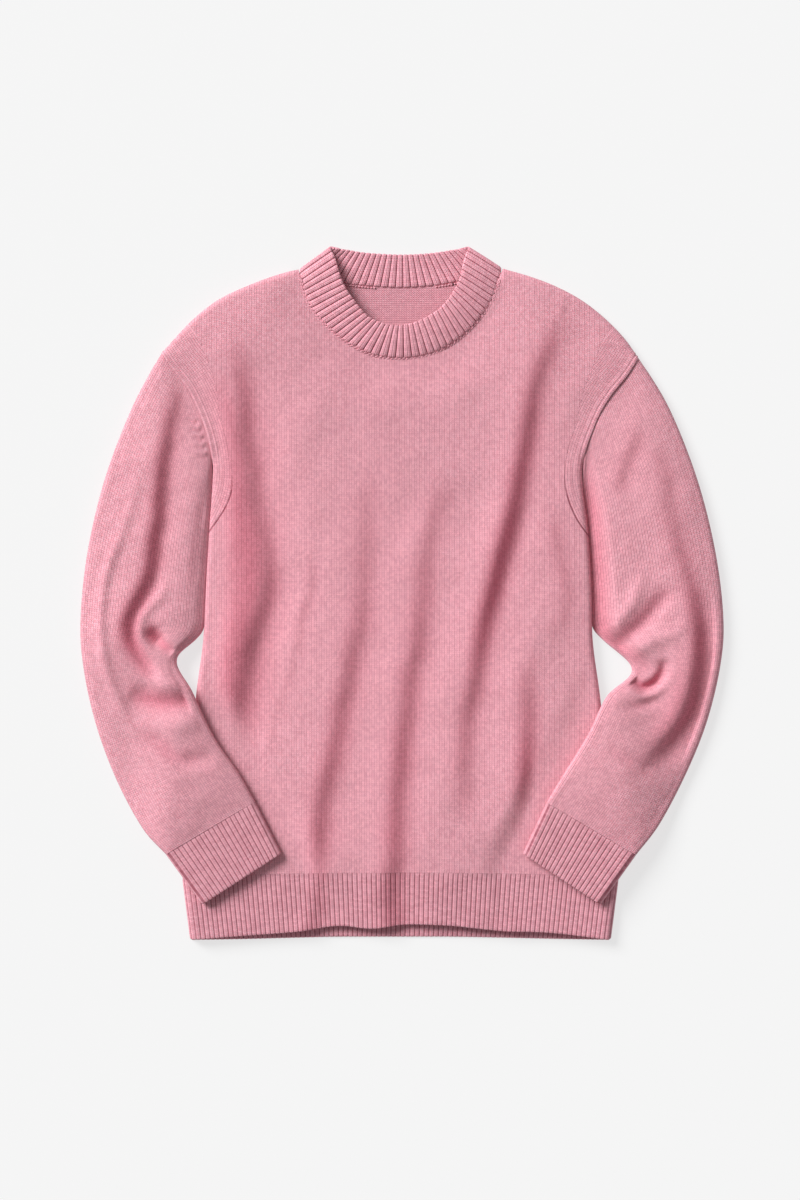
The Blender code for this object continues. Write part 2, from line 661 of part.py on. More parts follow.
def add_plate(name, outline, colour):
    """One layer of cloth lying flat on the floor, inside an outline that runs clockwise."""
    count = len(outline)
    points = np.concatenate([np.insert(outline, 2, WALL, axis=1), np.insert(outline, 2, 0, axis=1)])
    faces = [list(range(count))[::-1], list(range(count, 2 * count))]
    for start in range(count):
        end = (start + 1) % count
        faces.append([start, end, count + end, count + start])
    add_piece(name, points, faces, colour)


def add_piece(name, points, faces, colour):
    mesh = bpy.data.meshes.new(name)
    mesh.from_pydata((points * MM).tolist(), [], faces)
    mesh.update()
    mesh.shade_smooth()
    mesh.set_sharp_from_angle(angle=np.radians(50))
    mesh.materials.append(knit_material(name, colour))
    piece = bpy.data.objects.new(name, mesh)
    bpy.context.scene.collection.objects.link(piece)


def knit_material(name, colour):
    material = bpy.data.materials.new(name)
    material.use_nodes = True
    shader = material.node_tree.nodes["Principled BSDF"]
    shader.inputs["Base Color"].default_value = [(part / 255) ** 2.2 for part in colour] + [1]
    shader.inputs["Roughness"].default_value = 0.9
    shader.inputs["Metallic"].default_value = 0.0
    return material


def add_body():
    add_wall("front", *walls(front_surface(), WALL), KNIT_COLOUR)
    add_plate("back", back_outline(), KNIT_COLOUR)
    hem, ribs = hem_front_surface()
    add_wall("hem_front", *walls(hem, RIB_WALL, raised=ribs), RIB_COLOUR)
    add_plate("hem_back", hem_back_outline(), RIB_COLOUR)


def add_sleeve(side):
    for name, made, wall, colour in (
        ("sleeve_" + side, sleeve_surface(side), WALL, KNIT_COLOUR),
        ("cuff_" + side, cuff_surface(side), RIB_WALL, RIB_COLOUR),
    ):
        grid, raised = made
        if side == "right":
            grid = grid[:, ::-1]
            raised = raised[:, ::-1]
        outer, inner = walls(grid, wall, closed=True, raised=raised)
        add_wall(name, outer, inner, colour, closed=True)


def add_neckband():
    grid, raised, raised_inside = neckband_surface()
    outer, inner = walls(grid, NECKBAND_WALL, True, raised, raised_inside)
    add_wall("neckband", outer, inner, RIB_COLOUR, closed=True)


def main():
    for old in list(bpy.data.objects):
        bpy.data.objects.remove(old, do_unlink=True)
    add_body()
    for side in SIDE_SIGN:
        add_sleeve(side)
    add_neckband()


main()
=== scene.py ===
import bpy
import numpy as np
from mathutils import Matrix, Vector


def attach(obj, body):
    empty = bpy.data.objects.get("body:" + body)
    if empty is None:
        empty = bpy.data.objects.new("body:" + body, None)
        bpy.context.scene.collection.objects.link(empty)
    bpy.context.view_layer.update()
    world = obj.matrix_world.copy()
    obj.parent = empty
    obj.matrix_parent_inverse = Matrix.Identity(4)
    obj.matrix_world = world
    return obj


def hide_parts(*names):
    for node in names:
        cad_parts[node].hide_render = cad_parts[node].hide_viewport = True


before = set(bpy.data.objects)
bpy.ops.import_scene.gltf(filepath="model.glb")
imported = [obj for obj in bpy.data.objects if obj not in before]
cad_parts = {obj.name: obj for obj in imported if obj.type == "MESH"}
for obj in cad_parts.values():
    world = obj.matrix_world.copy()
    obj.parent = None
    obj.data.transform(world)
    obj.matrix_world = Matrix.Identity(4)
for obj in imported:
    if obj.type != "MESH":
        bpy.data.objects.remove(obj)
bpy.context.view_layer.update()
mm = 0.001


def smooth(knots, values, at):
    # values on a smooth curve through the knots
    knots = np.asarray(knots, float)
    values = np.asarray(values, float)
    at = np.clip(np.asarray(at, float), knots[0], knots[-1])
    slopes = np.gradient(values, knots, axis=0)
    low = np.clip(np.searchsorted(knots, at) - 1, 0, len(knots) - 2)
    gap = knots[low + 1] - knots[low]
    t = (at - knots[low]) / gap
    if values.ndim > 1:
        t = t[..., None]
        gap = gap[..., None]
    ease = t * t * (3 - 2 * t)
    start = values[low] * (1 - ease) + slopes[low] * t * (1 - t) ** 2 * gap
    return start + values[low + 1] * ease + slopes[low + 1] * t * t * (t - 1) * gap


def lengths(points, axis=0):
    steps = np.linalg.norm(np.diff(points, axis=axis), axis=-1)
    zero = np.zeros_like(np.take(steps, [0], axis=axis))
    return np.cumsum(np.concatenate([zero, steps], axis=axis), axis=axis)


def spread(points, count):
    points = np.asarray(points, float)
    reach = lengths(points)
    return smooth(reach, points, np.linspace(0, reach[-1], count))


def cut(points, start, stop, count):
    # evenly spaced places on the smooth curve, from start to stop along it
    reach = lengths(points)
    return smooth(reach, points, np.linspace(start, stop, count))


def fade(x):
    x = np.clip(x, 0.0, 1.0)
    return x * x * (3 - 2 * x)


def bell(x, width):
    return np.exp(-((x / width) ** 2))


def planNormals(points):
    step = np.gradient(points, axis=0)
    square = np.stack([-step[:, 1], step[:, 0]], axis=1)
    return square / np.linalg.norm(square, axis=1, keepdims=True)


def surfaceNormals(grid, closed):
    alongRows = np.gradient(grid, axis=0)
    if closed:
        alongColumns = np.roll(grid, -1, axis=1) - np.roll(grid, 1, axis=1)
    else:
        alongColumns = np.gradient(grid, axis=1)
    square = np.cross(alongColumns, alongRows)
    return square / np.maximum(np.linalg.norm(square, axis=2, keepdims=True), 1e-9)


def ripple(x, y, size, seed):
    # soft uneven swell of the cloth, about 1 high
    rng = np.random.default_rng(seed)
    total = np.zeros(np.shape(x))
    for turn in np.linspace(0, np.pi, 9)[:-1] + rng.uniform(0, 0.4, 8):
        wave = size * rng.uniform(0.75, 1.7)
        along = x * np.cos(turn) + y * np.sin(turn)
        total += np.sin(along / wave * 2 * np.pi + rng.uniform(0, 2 * np.pi))
    return total / 2.8


def awayFrom(x, y, path):
    # distance of every point from a path, 1 where it is right of it and -1 left, and the path's third
    # value at the nearest place; a path runs from high Y to low Y
    best = np.full(np.shape(x), 1e9)
    side = np.ones(np.shape(x))
    value = np.zeros(np.shape(x))
    for start, end in zip(path[:-1], path[1:]):
        run = end[:2] - start[:2]
        offX, offY = x - start[0], y - start[1]
        share = np.clip((offX * run[0] + offY * run[1]) / (run @ run), 0, 1)
        far = np.hypot(offX - share * run[0], offY - share * run[1])
        near = far < best
        best = np.where(near, far, best)
        side = np.where(near, np.sign(run[0] * offY - run[1] * offX), side)
        value = np.where(near, start[2] + share * (end[2] - start[2]), value)
    return best, side, value


shade = {  # painted shade: how much deeper the colour is painted in the folds and dents
    "fullDrop": 7,  # a fold of this drop, or a dent of this depth, has full shade
    "fullDepth": 10,
    "foldWidth": 1.3,  # width of the shade, in flanks of the fold or widths of the dent
    "dentWidth": 0.9,
    "dentOff": (0.46, -0.38),  # a dent's painted shade lies off its middle towards the light, in widths of the dent
}


def creased(x, y, folds, dents):
    # height added by folds and dents, and how much painted shade the cloth gets there, 0 to 1
    # folds: drop of the flank facing right, its width, reach to the left and right, path with strength
    # dents: rise (below 0 for a trough), width, path with strength
    total = np.zeros(np.shape(x))
    deep = np.zeros(np.shape(x))
    for drop, flank, reachLeft, reachRight, path in folds:
        far, side, share = awayFrom(x, y, spread(path, 4 * len(path)))
        reach = np.where(side > 0, reachRight, reachLeft)
        total -= drop * share * side * np.tanh(far / flank) * bell(far, reach)
        deep = np.maximum(deep, drop / shade["fullDrop"] * share * bell(far, flank * shade["foldWidth"]))
    offX, offY = shade["dentOff"]
    for rise, width, path in dents:
        path = spread(path, 4 * len(path))
        far, _, share = awayFrom(x, y, path)
        total += rise * share * bell(far, width)
        far, _, share = awayFrom(x + offX * width, y + offY * width, path)
        deep = np.maximum(deep, -rise / shade["fullDepth"] * share * bell(far, width * shade["dentWidth"]))
    return total, np.clip(deep, 0, 1)


def addObject(name, data):
    made = bpy.data.objects.new(name, data)
    bpy.context.scene.collection.objects.link(made)
    return made


def rimRings(grid, outer, inner, out, uv, row, inside, steps):
    # rings of a rim at one end of the cloth, half round from the outer face to the inner one
    middle = (outer[row] + inner[row]) / 2
    thick = np.linalg.norm(outer[row] - inner[row], axis=1, keepdims=True) / 2
    away = grid[row] - grid[inside]
    away = away / np.linalg.norm(away, axis=1, keepdims=True)
    turn = np.arange(1, steps + 1) / (steps + 1) * np.pi
    rings = [middle + thick * (out[row] * np.cos(a) + away * np.sin(a)) for a in turn]
    return rings, [uv[row] + np.array([0, (row - inside) * a]) for a in turn]


def sideRings(rows, innerStart, count):
    # layers round each face that closes an open side of the wall, its two rims last
    rings = []
    for row in range(rows - 1):
        twin = innerStart + rows - 1 - row
        rings.append([row, row + 1, twin - 1, twin])
    rings.append(list(range(rows - 1, innerStart + 1)))
    rings.append(list(range(innerStart + rows - 1, count)) + [0])
    return [ring for ring in rings if len(ring) > 2]


def clothShell(name, grid, uv, wall, closed, rims=(0, 0), relief=0.0, backRelief=0.0, marked=None):
    # a wall on a grid of points, closed to a tube or open at its sides, with a rim of so many steps
    # at its low and high end; relief raises its faces, and marked gives attributes their values
    rows, columns = grid.shape[:2]
    out = surfaceNormals(grid, closed)
    outer = grid + out * np.broadcast_to(relief, (rows, columns))[..., None]
    inner = grid - out * np.broadcast_to(wall + backRelief, (rows, columns))[..., None]
    high, highUv = rimRings(grid, outer, inner, out, uv, rows - 1, rows - 2, rims[1])
    low, lowUv = rimRings(grid, outer, inner, out, uv, 0, 1, rims[0])
    layers = list(outer) + high + list(inner[::-1]) + low[::-1]
    layerUv = np.array(list(uv) + highUv + list(uv[::-1]) + lowUv[::-1])
    count = len(layers)
    innerStart = rows + len(high)
    onInside = np.zeros(count, int)
    onInside[innerStart : innerStart + rows] = 1
    a, b = np.meshgrid(np.arange(count), np.arange(columns if closed else columns - 1), indexing="ij")
    a2 = (a + 1) % count
    b2 = (b + 1) % columns
    quads = np.stack([a * columns + b, a * columns + b2, a2 * columns + b2, a2 * columns + b], -1)
    faces = quads.reshape(-1, 4).tolist()
    corners = np.stack([layerUv[a, b], layerUv[a, b + 1], layerUv[a2, b + 1], layerUv[a2, b]], 2)
    corners = [corners.reshape(-1, 2)]
    material = (onInside[a] & onInside[a2]).reshape(-1)
    for side in () if closed else (0, columns - 1):
        for ring in sideRings(rows, innerStart, count):
            ring = ring[::-1] if side else ring
            faces.append([at * columns + side for at in ring])
            corners.append(layerUv[ring, side])
    material = np.concatenate([material, np.zeros(len(faces) - len(material), int)])
    mesh = bpy.data.meshes.new(name)
    mesh.from_pydata((np.concatenate(layers) * mm).tolist(), [], faces)
    mesh.uv_layers.new(name="cloth").data.foreach_set("uv", (np.concatenate(corners) * mm).ravel())
    mesh.polygons.foreach_set("material_index", material.astype(np.int32))
    mesh.polygons.foreach_set("use_smooth", np.ones(len(faces), bool))
    # an end with no rim keeps a sharp edge, so that it joins the next piece without a dark line
    ends = ([] if rims[0] else [0, count - 1]) + ([] if rims[1] else [rows - 1, rows])
    pairs = np.zeros(2 * len(mesh.edges), np.int32)
    mesh.edges.foreach_get("vertices", pairs)
    onLayer = pairs.reshape(-1, 2) // columns
    sharp = (onLayer[:, 0] == onLayer[:, 1]) & np.isin(onLayer[:, 0], ends)
    mesh.edges.foreach_set("use_edge_sharp", sharp)
    for key, values in (marked or {}).items():
        values = list(values) + [values[-1]] * len(high) + list(values[::-1]) + [values[0]] * len(low)
        mark = mesh.attributes.new(key, "FLOAT", "POINT")
        mark.data.foreach_set("value", np.concatenate(values).astype(np.float32))
    mesh.update()
    return addObject(name, mesh)


class Socket:
    # wraps a socket, so that an expression on values adds its Math nodes
    def __init__(self, shader, socket):
        self.shader = shader
        self.socket = socket

    def maths(self, operation, *values):
        made = self.shader.node("ShaderNodeMath", {"operation": operation}, dict(enumerate(values)))
        return Socket(self.shader, made.outputs[0])

    def __add__(self, other):
        return self.maths("ADD", self, other)

    def __radd__(self, other):
        return self.maths("ADD", other, self)

    def __sub__(self, other):
        return self.maths("SUBTRACT", self, other)

    def __rsub__(self, other):
        return self.maths("SUBTRACT", other, self)

    def __mul__(self, other):
        return self.maths("MULTIPLY", self, other)

    def __rmul__(self, other):
        return self.maths("MULTIPLY", other, self)

    def __truediv__(self, other):
        return self.maths("DIVIDE", self, other)

    def __pow__(self, other):
        return self.maths("POWER", self, other)

    def fract(self):
        return self.maths("FRACT", self)

    def floor(self):
        return self.maths("FLOOR", self)

    def size(self):
        return self.maths("ABSOLUTE", self)

    def sine(self):
        return self.maths("SINE", self)

    def atLeast(self, other):
        return self.maths("MAXIMUM", self, other)

    def atMost(self, other):
        return self.maths("MINIMUM", self, other)


def feed(tree, socket, value):
    if isinstance(value, Socket):
        value = value.socket
    if isinstance(value, bpy.types.NodeSocket):
        tree.links.new(value, socket)
    else:
        socket.default_value = value


def addNode(tree, kind, settings=None, values=None):
    made = tree.nodes.new(kind)
    for key, value in (settings or {}).items():
        if key == "stops":
            for stop, (place, colour) in zip(made.color_ramp.elements, value):
                stop.position = place
                stop.color = colour
        else:
            setattr(made, key, value)
    for key, value in (values or {}).items():
        feed(tree, made.inputs[key], value)
    return made


class Shader:
    def __init__(self, name):
        self.material = bpy.data.materials.new(name)
        self.material.use_nodes = True
        self.tree = self.material.node_tree
        self.surface = self.tree.nodes["Principled BSDF"]

    def node(self, kind, settings=None, values=None):
        return addNode(self.tree, kind, settings, values)

    def paint(self, values):
        for key, value in values.items():
            feed(self.tree, self.surface.inputs[key], value)
        return self.material

    def out(self, made, name):
        return Socket(self, made.outputs[name])

    def attribute(self, name):
        return self.out(self.node("ShaderNodeAttribute", {"attribute_name": name}), "Fac")

    def noise(self, scale, detail):
        place = self.node("ShaderNodeTexCoord").outputs["Object"]
        values = {"Vector": place, "Scale": scale, "Detail": detail}
        return self.out(self.node("ShaderNodeTexNoise", values=values), "Fac")

    def random(self, dimensions, values):
        settings = {"noise_dimensions": dimensions}
        return self.out(self.node("ShaderNodeTexWhiteNoise", settings, values), "Value")

    def ramp(self, stops, factor):
        return self.node("ShaderNodeValToRGB", {"stops": stops}, {"Fac": factor}).outputs["Color"]


def linear(red, green, blue):
    parts = [part / 255 for part in (red, green, blue)]
    parts = [p / 12.92 if p <= 0.04045 else ((p + 0.055) / 1.055) ** 2.4 for p in parts]
    return (*parts, 1.0)


yarn = {
    # lit and deep: the ends of the colour ramp, painted light on a stitch's tops and painted shade in its
    # dips; the seam yarn uses them as a random darker and lighter tone
    "lit": linear(253, 186, 199),
    "deep": linear(130, 35, 58),
    "pale": linear(255, 205, 216),
    "paintedShade": (0.12, 0.50, 0.42),  # share of red, green and blue taken off where the painted shade is full
    "wale": 2.5,  # one column of stitches
    "course": 1.9,  # one row of stitches
    "ribCourse": 2.0,
    "neckCourse": 2.4,
    "ribPitch": 4.8,
    "neckRibPitch": 6.2,
    "lean": 0.55,  # a leg of the V falls this much from its middle to its side, in courses
    "stitchNoise": 0.19,
    "columnNoise": 0.03,
    "cloud": (18.0, 3.0, 0.10),  # scale, detail and strength
    "fibre": (900.0, 2.0, 0.4),
    "seamFibre": (1400.0, 2.0),
    "roughness": 0.92,
    "sheen": 0.14,
}
bandLine = {"from": 130, "over": 20, "least": 0.10, "half": 1.1, "strength": 0.62}


def bandStitches(shader, across, along, wale, course):
    # in the band beside an armhole the wales run with the seam, and a fine dark line ends it
    far, placed, past = (shader.attribute(key) for key in ("bandFar", "bandAlong", "bandPast"))
    inside = past.maths("LESS_THAN", past, 0.0)
    across = across * (1 - inside) + far / wale * inside
    along = along * (1 - inside) + placed / course * inside
    shown = ((placed - bandLine["from"]) / bandLine["over"]).atLeast(bandLine["least"]).atMost(1.0)
    line = (1 - (past / bandLine["half"]).size()).atLeast(0.0) * shown * bandLine["strength"]
    return across, along, line


def purlHeight(across, along, side):
    # wavy bars across the cloth
    wave = ((across * 6.2832).sine() * 0.22 + along).fract()
    bar = (wave - 0.5).size() * -2 + 1
    return bar * 0.8 + (1 - side) * 0.2


def plainHeight(along, side):
    # the two rounded legs of a V
    leg = (1 - (side * 2 - 1) ** 2).atLeast(0.0) ** 0.5
    leg = leg.atLeast((1 - side) * 0.82)
    loop = ((along - side * yarn["lean"]).fract() * 2 - 1) ** 2
    return leg * (1 - loop * 0.36)


def knitMaterial(
    name, wale, course, purl=False, bump=0.5, tint=1.0, ribbed=False, band=False, ribPitch=0
):
    shader = Shader(name)
    uv = shader.node("ShaderNodeUVMap", {"uv_map": "cloth"})
    parts = shader.node("ShaderNodeSeparateXYZ", values={0: uv.outputs[0]})
    along = shader.out(parts, "Y") / (course * mm)
    across = shader.out(parts, "X") / (wale * mm)
    line = 0.0
    if band:
        across, along, line = bandStitches(shader, across, along, wale, course)
    if ribPitch:
        # painted shade in the groove between two ribs, also cut into the bump
        groove = (shader.out(parts, "X") / (ribPitch * mm)).fract() - 0.5
        line = (groove.size() * 9 - 3.4).atLeast(0.0) * 0.42
    side = ((across.fract() - 0.5).size() * (2.3 if ribbed else 2)).atMost(1.0)
    height = purlHeight(across, along, side) if purl else plainHeight(along, side)
    if ribbed:
        height = height * 0.6 + 0.27
    # every stitch, column and patch of cloth is a little lighter or darker than the next
    row = (along - side * yarn["lean"]).floor()
    stitch = shader.node("ShaderNodeCombineXYZ", values={"X": across.floor(), "Y": row})
    stitchNoise = shader.random("2D", {"Vector": stitch.outputs[0]}) - 0.5
    columnNoise = shader.random("1D", {"W": across.floor()}) - 0.5
    scale, detail, strength = yarn["cloud"]
    # painted shade at the scale of a stitch: its raised legs get the lit end of the ramp and the dips
    # between them the deep end; the noise adds tone that differs at random
    light = height * 0.92 + 0.03 + (shader.noise(scale, detail) - 0.5) * strength
    light = light + columnNoise * yarn["columnNoise"] + stitchNoise * yarn["stitchNoise"] - line
    # painted light: the purl side is painted lighter and flatter, lifting the inside of the back neck out
    # of the collar's shade
    if purl:
        light = light * 0.75 + 0.30
    deep, lit = ([part * tint for part in yarn[key][:3]] + [1] for key in ("deep", "lit"))
    colour = shader.ramp([(0.0, deep), (1.0, lit)], light)
    # painted shade: where the paintedShade mark is high, in folds, dents and beside the body, the colour
    # is made deeper and redder, standing in for shade and for light bounced off the cloth round it
    paintedShade = shader.attribute("paintedShade")
    split = shader.node("ShaderNodeSeparateColor", values={0: colour})
    mixed = [
        shader.out(split, key) * (1 - paintedShade * loss)
        for key, loss in zip(("Red", "Green", "Blue"), yarn["paintedShade"])
    ]
    colour = shader.node("ShaderNodeCombineColor", values=dict(enumerate(mixed))).outputs["Color"]
    scale, detail, strength = yarn["fibre"]
    relief = height + (shader.noise(scale, detail) - 0.5) * strength - line * 1.5
    bumped = {"Strength": 1.0, "Distance": bump * mm, "Height": relief}
    return shader.paint({
        "Base Color": colour,
        "Normal": shader.node("ShaderNodeBump", values=bumped).outputs["Normal"],
        "Roughness": yarn["roughness"],
        "Specular IOR Level": 0.2,
        "Subsurface Weight": 0.12,
        "Subsurface Radius": (1.0, 0.25, 0.32),
        "Subsurface Scale": 1 * mm,
        "Sheen Weight": yarn["sheen"],
        "Sheen Roughness": 0.45,
        "Sheen Tint": yarn["pale"],
    })


def seamYarn():
    shader = Shader("seamYarn")
    colour = shader.ramp([(0.25, yarn["deep"]), (0.62, yarn["lit"])], shader.noise(*yarn["seamFibre"]))
    return shader.paint({"Base Color": colour, "Roughness": yarn["roughness"]})


plain = (yarn["wale"], yarn["course"])
materials = {
    "knit": knitMaterial("knit", *plain),
    "frontKnit": knitMaterial("frontKnit", *plain, band=True),
    "purl": knitMaterial("purl", *plain, purl=True),
    # painted shade: the ribs are painted a little darker, standing in for the dimmer light over the hem
    # and cuffs
    "rib": knitMaterial("rib", yarn["ribPitch"], yarn["ribCourse"], ribbed=True, bump=0.3, tint=0.88),
    "neckRib": knitMaterial(
        "neckRib", yarn["neckRibPitch"] / 2, yarn["neckCourse"], bump=0.4, ribPitch=yarn["neckRibPitch"]
    ),
    "seam": seamYarn(),
}
print("materials made")


def dress(piece, outside, inside):
    piece.data.materials.append(materials[outside])
    piece.data.materials.append(materials[inside])
    return piece


body = {
    "wall": 2.6,
    "ribWall": 2.2,
    "ribRise": 0.65,
    "edgeTop": 12.7,
    "crown": 5.4,
    "turn": 6.5,
    "seamReach": 9.0,
    "backSeamZ": 2.95,
    "hemSeamSide": -283.5,
    "hemSeamMiddle": -279.0,
    "backInset": 0.8,
    "hemRibs": 88,
    "hemRibColumns": 9,
    "hemRows": (26, 22),  # front and back
    "hemRims": [(5, 0), (4, 0)],
    "hemGap": 0.3,
    "hemSink": 0.15,
    "ribsGrow": 5,  # the ribs rise to their height over this length
    "endRibStep": 0.3,  # round the sides of the hem, in ribs a column
    "backTop": 322,
    "backRows": 120,
    "backColumns": 110,
    "backNeckGap": 0.4,
    "neckCentre": (-2.0, 334.0),
    "neckRadius": 96.0,
    "side": [  # y, left, right
        (-346, -212, 209),
        (-312, -217, 214),
        (-282, -220, 217),
        (-200, -214, 209),
        (-99, -206, 198),
        (-45, -199, 191),
        (0, -197, 190),
        (70, -193, 185.5),
        (110, -190.5, 181),
        (139, -191, 183),
    ],
    "armhole": [  # left x, left y, right x, right y
        (-191, 139, 183, 139),
        (-195.5, 160, 190, 160),
        (-203, 181, 200, 183),
        (-216, 207, 211, 200),
        (-231, 226, 225, 217),
        (-241, 240.5, 237, 235.5),
    ],
    "shoulder": [
        (-241, 240.5, 237, 235.5),
        (-229, 254, 224, 254),
        (-211, 273, 206, 273),
        (-186, 293, 181, 293),
        (-154, 308.5, 152, 308.5),
        (-127, 318.5, 125, 318.5),
        (-112, 323, 110, 323),
    ],
    "neckPoint": (-103, 325.5, 100.5, 326.5),
    "neckPointBase": (-109.2, 314.8, 107.4, 316.0),
    "bandPaths": [
        [(-241, 240.5), (-231, 226), (-216, 207), (-203, 181), (-195.5, 160), (-191, 139),
         (-190.5, 110), (-200, 84), (-216, 62)],
        [(237, 235.5), (225, 217), (211, 200), (200, 183), (190, 160), (183, 139), (181, 110),
         (190, 84), (206, 62)],
    ],
    "hemEdge": [  # x, front y, back y
        (-212, -345.5, -346.3),
        (-162, -341.5, -345.5),
        (-105, -337, -344),
        (-60, -331.5, -343),
        (-31, -334, -343),
        (0, -330.5, -343),
        (45, -331, -343),
        (101, -336.5, -344),
        (145, -338, -345),
        (209, -345.5, -346.3),
    ],
    "shoulderColumns": 40,
    "neckColumns": 80,
    "rows": 150,
    "turnSteps": 8,
    "seamLap": 0.6,
    "cords": [(2.6, 1.0, 0.7), (6.4, 1.1, 0.49), (4.5, 0.7, -0.35)],  # off the armhole, width, height
    "cordsFrom": (118, 30),  # y where they start, and over how much
    "neckPointCurl": 0.6,
    "columnsApart": 0.004,
    "sideBend": 6,  # how close to the sides the grid follows them
    "curlBelow": (146, 40),  # under the armholes the front turns down to the back
    "swells": [(70, 3, 0.5), (26, 4, 0.18)],  # uneven lie of the cloth: size, seed, height
    "foldsFrom": (30, 25),  # folds fade towards the outline and the neckline
    "crownFrom": (60, 30, 75),  # the crown fades towards the neckline, and above the hem
    "pressedWithin": (60, 26),  # off a sleeve's middle line
    "band": {"wide": 40, "less": 22, "over": 95, "bulges": (3.5, 0), "bulgeAt": (150, 20)},
    "folds": [  # drop, flank, reach left and right, path: x, y, strength
        (6.8, 9, 26, 30, [
            (158, 273, 0.15), (146, 243, 0.46), (135, 213, 0.55), (129, 183, 0.68),
            (125, 153, 0.76), (119, 123, 0.84), (114, 93, 0.9), (107, 63, 1), (99, 33, 1),
            (92, 3, 1), (84, -27, 0.9), (78, -57, 0.76), (74, -87, 0.6), (67, -117, 0.5),
            (64, -147, 0.44), (62, -177, 0.34), (63, -207, 0.2), (63, -237, 0)]),
        (4.7, 10, 25, 28, [
            (40, 123, 0), (37, 93, 0.3), (29, 63, 0.4), (24, 33, 0.5), (22, 3, 0.6),
            (18, -27, 0.68), (15, -57, 0.75), (8, -87, 0.8), (6, -117, 0.85), (1, -147, 0.9),
            (-1, -177, 0.95), (-4, -207, 0.9), (-6, -237, 0.95), (-7, -267, 0.85),
            (-10, -297, 0.8), (-7, -350, 0.75)]),
        (4.5, 10, 25, 28, [
            (-26, 123, 0), (-36, 93, 0.25), (-36, 63, 0.35), (-38, 33, 0.45), (-39, 3, 0.5),
            (-41, -27, 0.65), (-48, -57, 0.72), (-53, -87, 0.8), (-60, -117, 0.85),
            (-65, -147, 0.92),
            (-72, -177, 0.95), (-79, -207, 0.9), (-82, -237, 0.95), (-85, -267, 0.85),
            (-88, -297, 0.6), (-88, -350, 0.5)]),
        (1.3, 6, 14, 14, [
            (-88, 50, 0), (-90, 33, 0.5), (-91, 3, 0.9), (-101, -27, 1), (-105, -57, 0.7),
            (-112, -87, 0.5), (-124, -117, 0.6), (-131, -147, 0.5), (-135, -176, 0)]),
        (3.9, 10, 24, 34, [
            (-176, 265, 0), (-166, 243, 0.35), (-160, 213, 0.8), (-156, 183, 1), (-155, 153, 1),
            (-148, 123, 1), (-146, 93, 0.95), (-139, 63, 0.95), (-134, 33, 1), (-134, 3, 1.1),
            (-141, -27, 1.1), (-151, -57, 1.1), (-157, -87, 1), (-165, -117, 1),
            (-172, -150, 0.6), (-178, -175, 0)]),
        (4.6, 20, 30, 44, [
            (-176, 230, 0), (-170, 190, 0.6), (-166, 150, 0.9), (-162, 110, 1), (-157, 70, 1.1),
            (-152, 30, 1.1), (-152, 0, 1.1), (-156, -30, 1.15), (-162, -70, 1.15),
            (-168, -120, 1), (-174, -165, 0.3), (-178, -185, 0)]),
        (5.2, 9, 25, 24, [
            (131, -57, 0.05), (125, -87, 0.35), (126, -117, 0.6), (125, -147, 0.8),
            (124, -177, 0.95), (124, -207, 1), (124, -237, 1), (122, -267, 1), (123, -297, 0.7),
            (126, -350, 0.6)]),
        (1.6, 10, 20, 20, [
            (150, 90, 0), (153, 63, 0.8), (160, 33, 1), (168, 3, 1), (161, -27, 0.6),
            (150, -60, 0)]),
    ],
}
neck = {
    "wall": 2.8,
    "rise": 1.5,
    "ribs": 68,
    "gap": 0.7,
    "bulge": 1.2,
    "upFrom": (4, 4),  # height above which the ribs face up, and over how much
    "sections": [  # seam x, y, z, free edge x, y, z
        (-100, 326, 6.5, -72.5, 346, 8.0),
        (-98.5, 313, 11.8, -68, 333, 14.0),
        (-94, 297, 13.2, -62, 313, 16.2),
        (-79, 275, 14.2, -50, 293, 17.0),
        (-57, 255.5, 14.2, -34, 275, 17.0),
        (-32, 242, 14.2, -18, 268, 17.0),
        (-2, 237.5, 14.2, -1, 266.5, 17.0),
        (28, 242, 14.2, 18, 271, 17.0),
        (52, 254, 14.2, 37, 282, 17.0),
        (74, 274, 14.2, 51, 298, 17.0),
        (89, 296, 13.2, 59.5, 315, 16.2),
        (95, 313, 11.8, 63.5, 333, 14.0),
        (97, 327, 6.5, 67.5, 346, 8.0),
        (82, 322, 0.9, 57, 344.5, 1.6),
        (60, 315.5, 0.0, 42, 341.5, 0.0),
        (32, 310.5, 0.0, 22, 339, 0.0),
        (0, 308.5, 0.0, 0, 338, 0.0),
        (-32, 310, 0.0, -23, 339, 0.0),
        (-60, 313.5, 0.0, -44, 341, 0.0),
        (-84, 321.5, 0.9, -61, 344.5, 1.6),
    ],
    "columnsPerRib": 10,
    "rows": 14,
    "ribSharp": 0.5,
    "rims": (3, 6),
}
rests = [((-262, -100), (-160, -286)), ((258, -100), (160, -286))]  # where a sleeve presses the front


def outlineAt(y):
    left = [(row[0], row[1]) for row in body["side"][:-1]]
    right = [(row[0], row[2]) for row in body["side"][:-1]]
    left = np.array(left + [(row[1], row[0]) for row in body["armhole"][:-1] + body["shoulder"]])
    right = np.array(right + [(row[3], row[2]) for row in body["armhole"][:-1] + body["shoulder"]])
    return np.interp(y, left[:, 0], left[:, 1]), np.interp(y, right[:, 0], right[:, 1])


def pressed(x, y):
    most = np.zeros(np.shape(x))
    for elbow, cuff in rests:
        far, _, _ = awayFrom(x, y, np.array([elbow + (0,), cuff + (0,)], float))
        start, over = body["pressedWithin"]
        most = np.maximum(most, 1 - fade((far - start) / over))
    return most


def onFront(x, y):
    # place across the front, -1 to 1, distance from its outline, and distance from the neckline
    left, right = outlineAt(y)
    across = (2 * x - left - right) / (right - left)
    inset = (1 - np.abs(across)) * (right - left) / 2
    fromNeck = np.hypot(x - body["neckCentre"][0], y - body["neckCentre"][1]) - body["neckRadius"]
    return across, inset, fromNeck


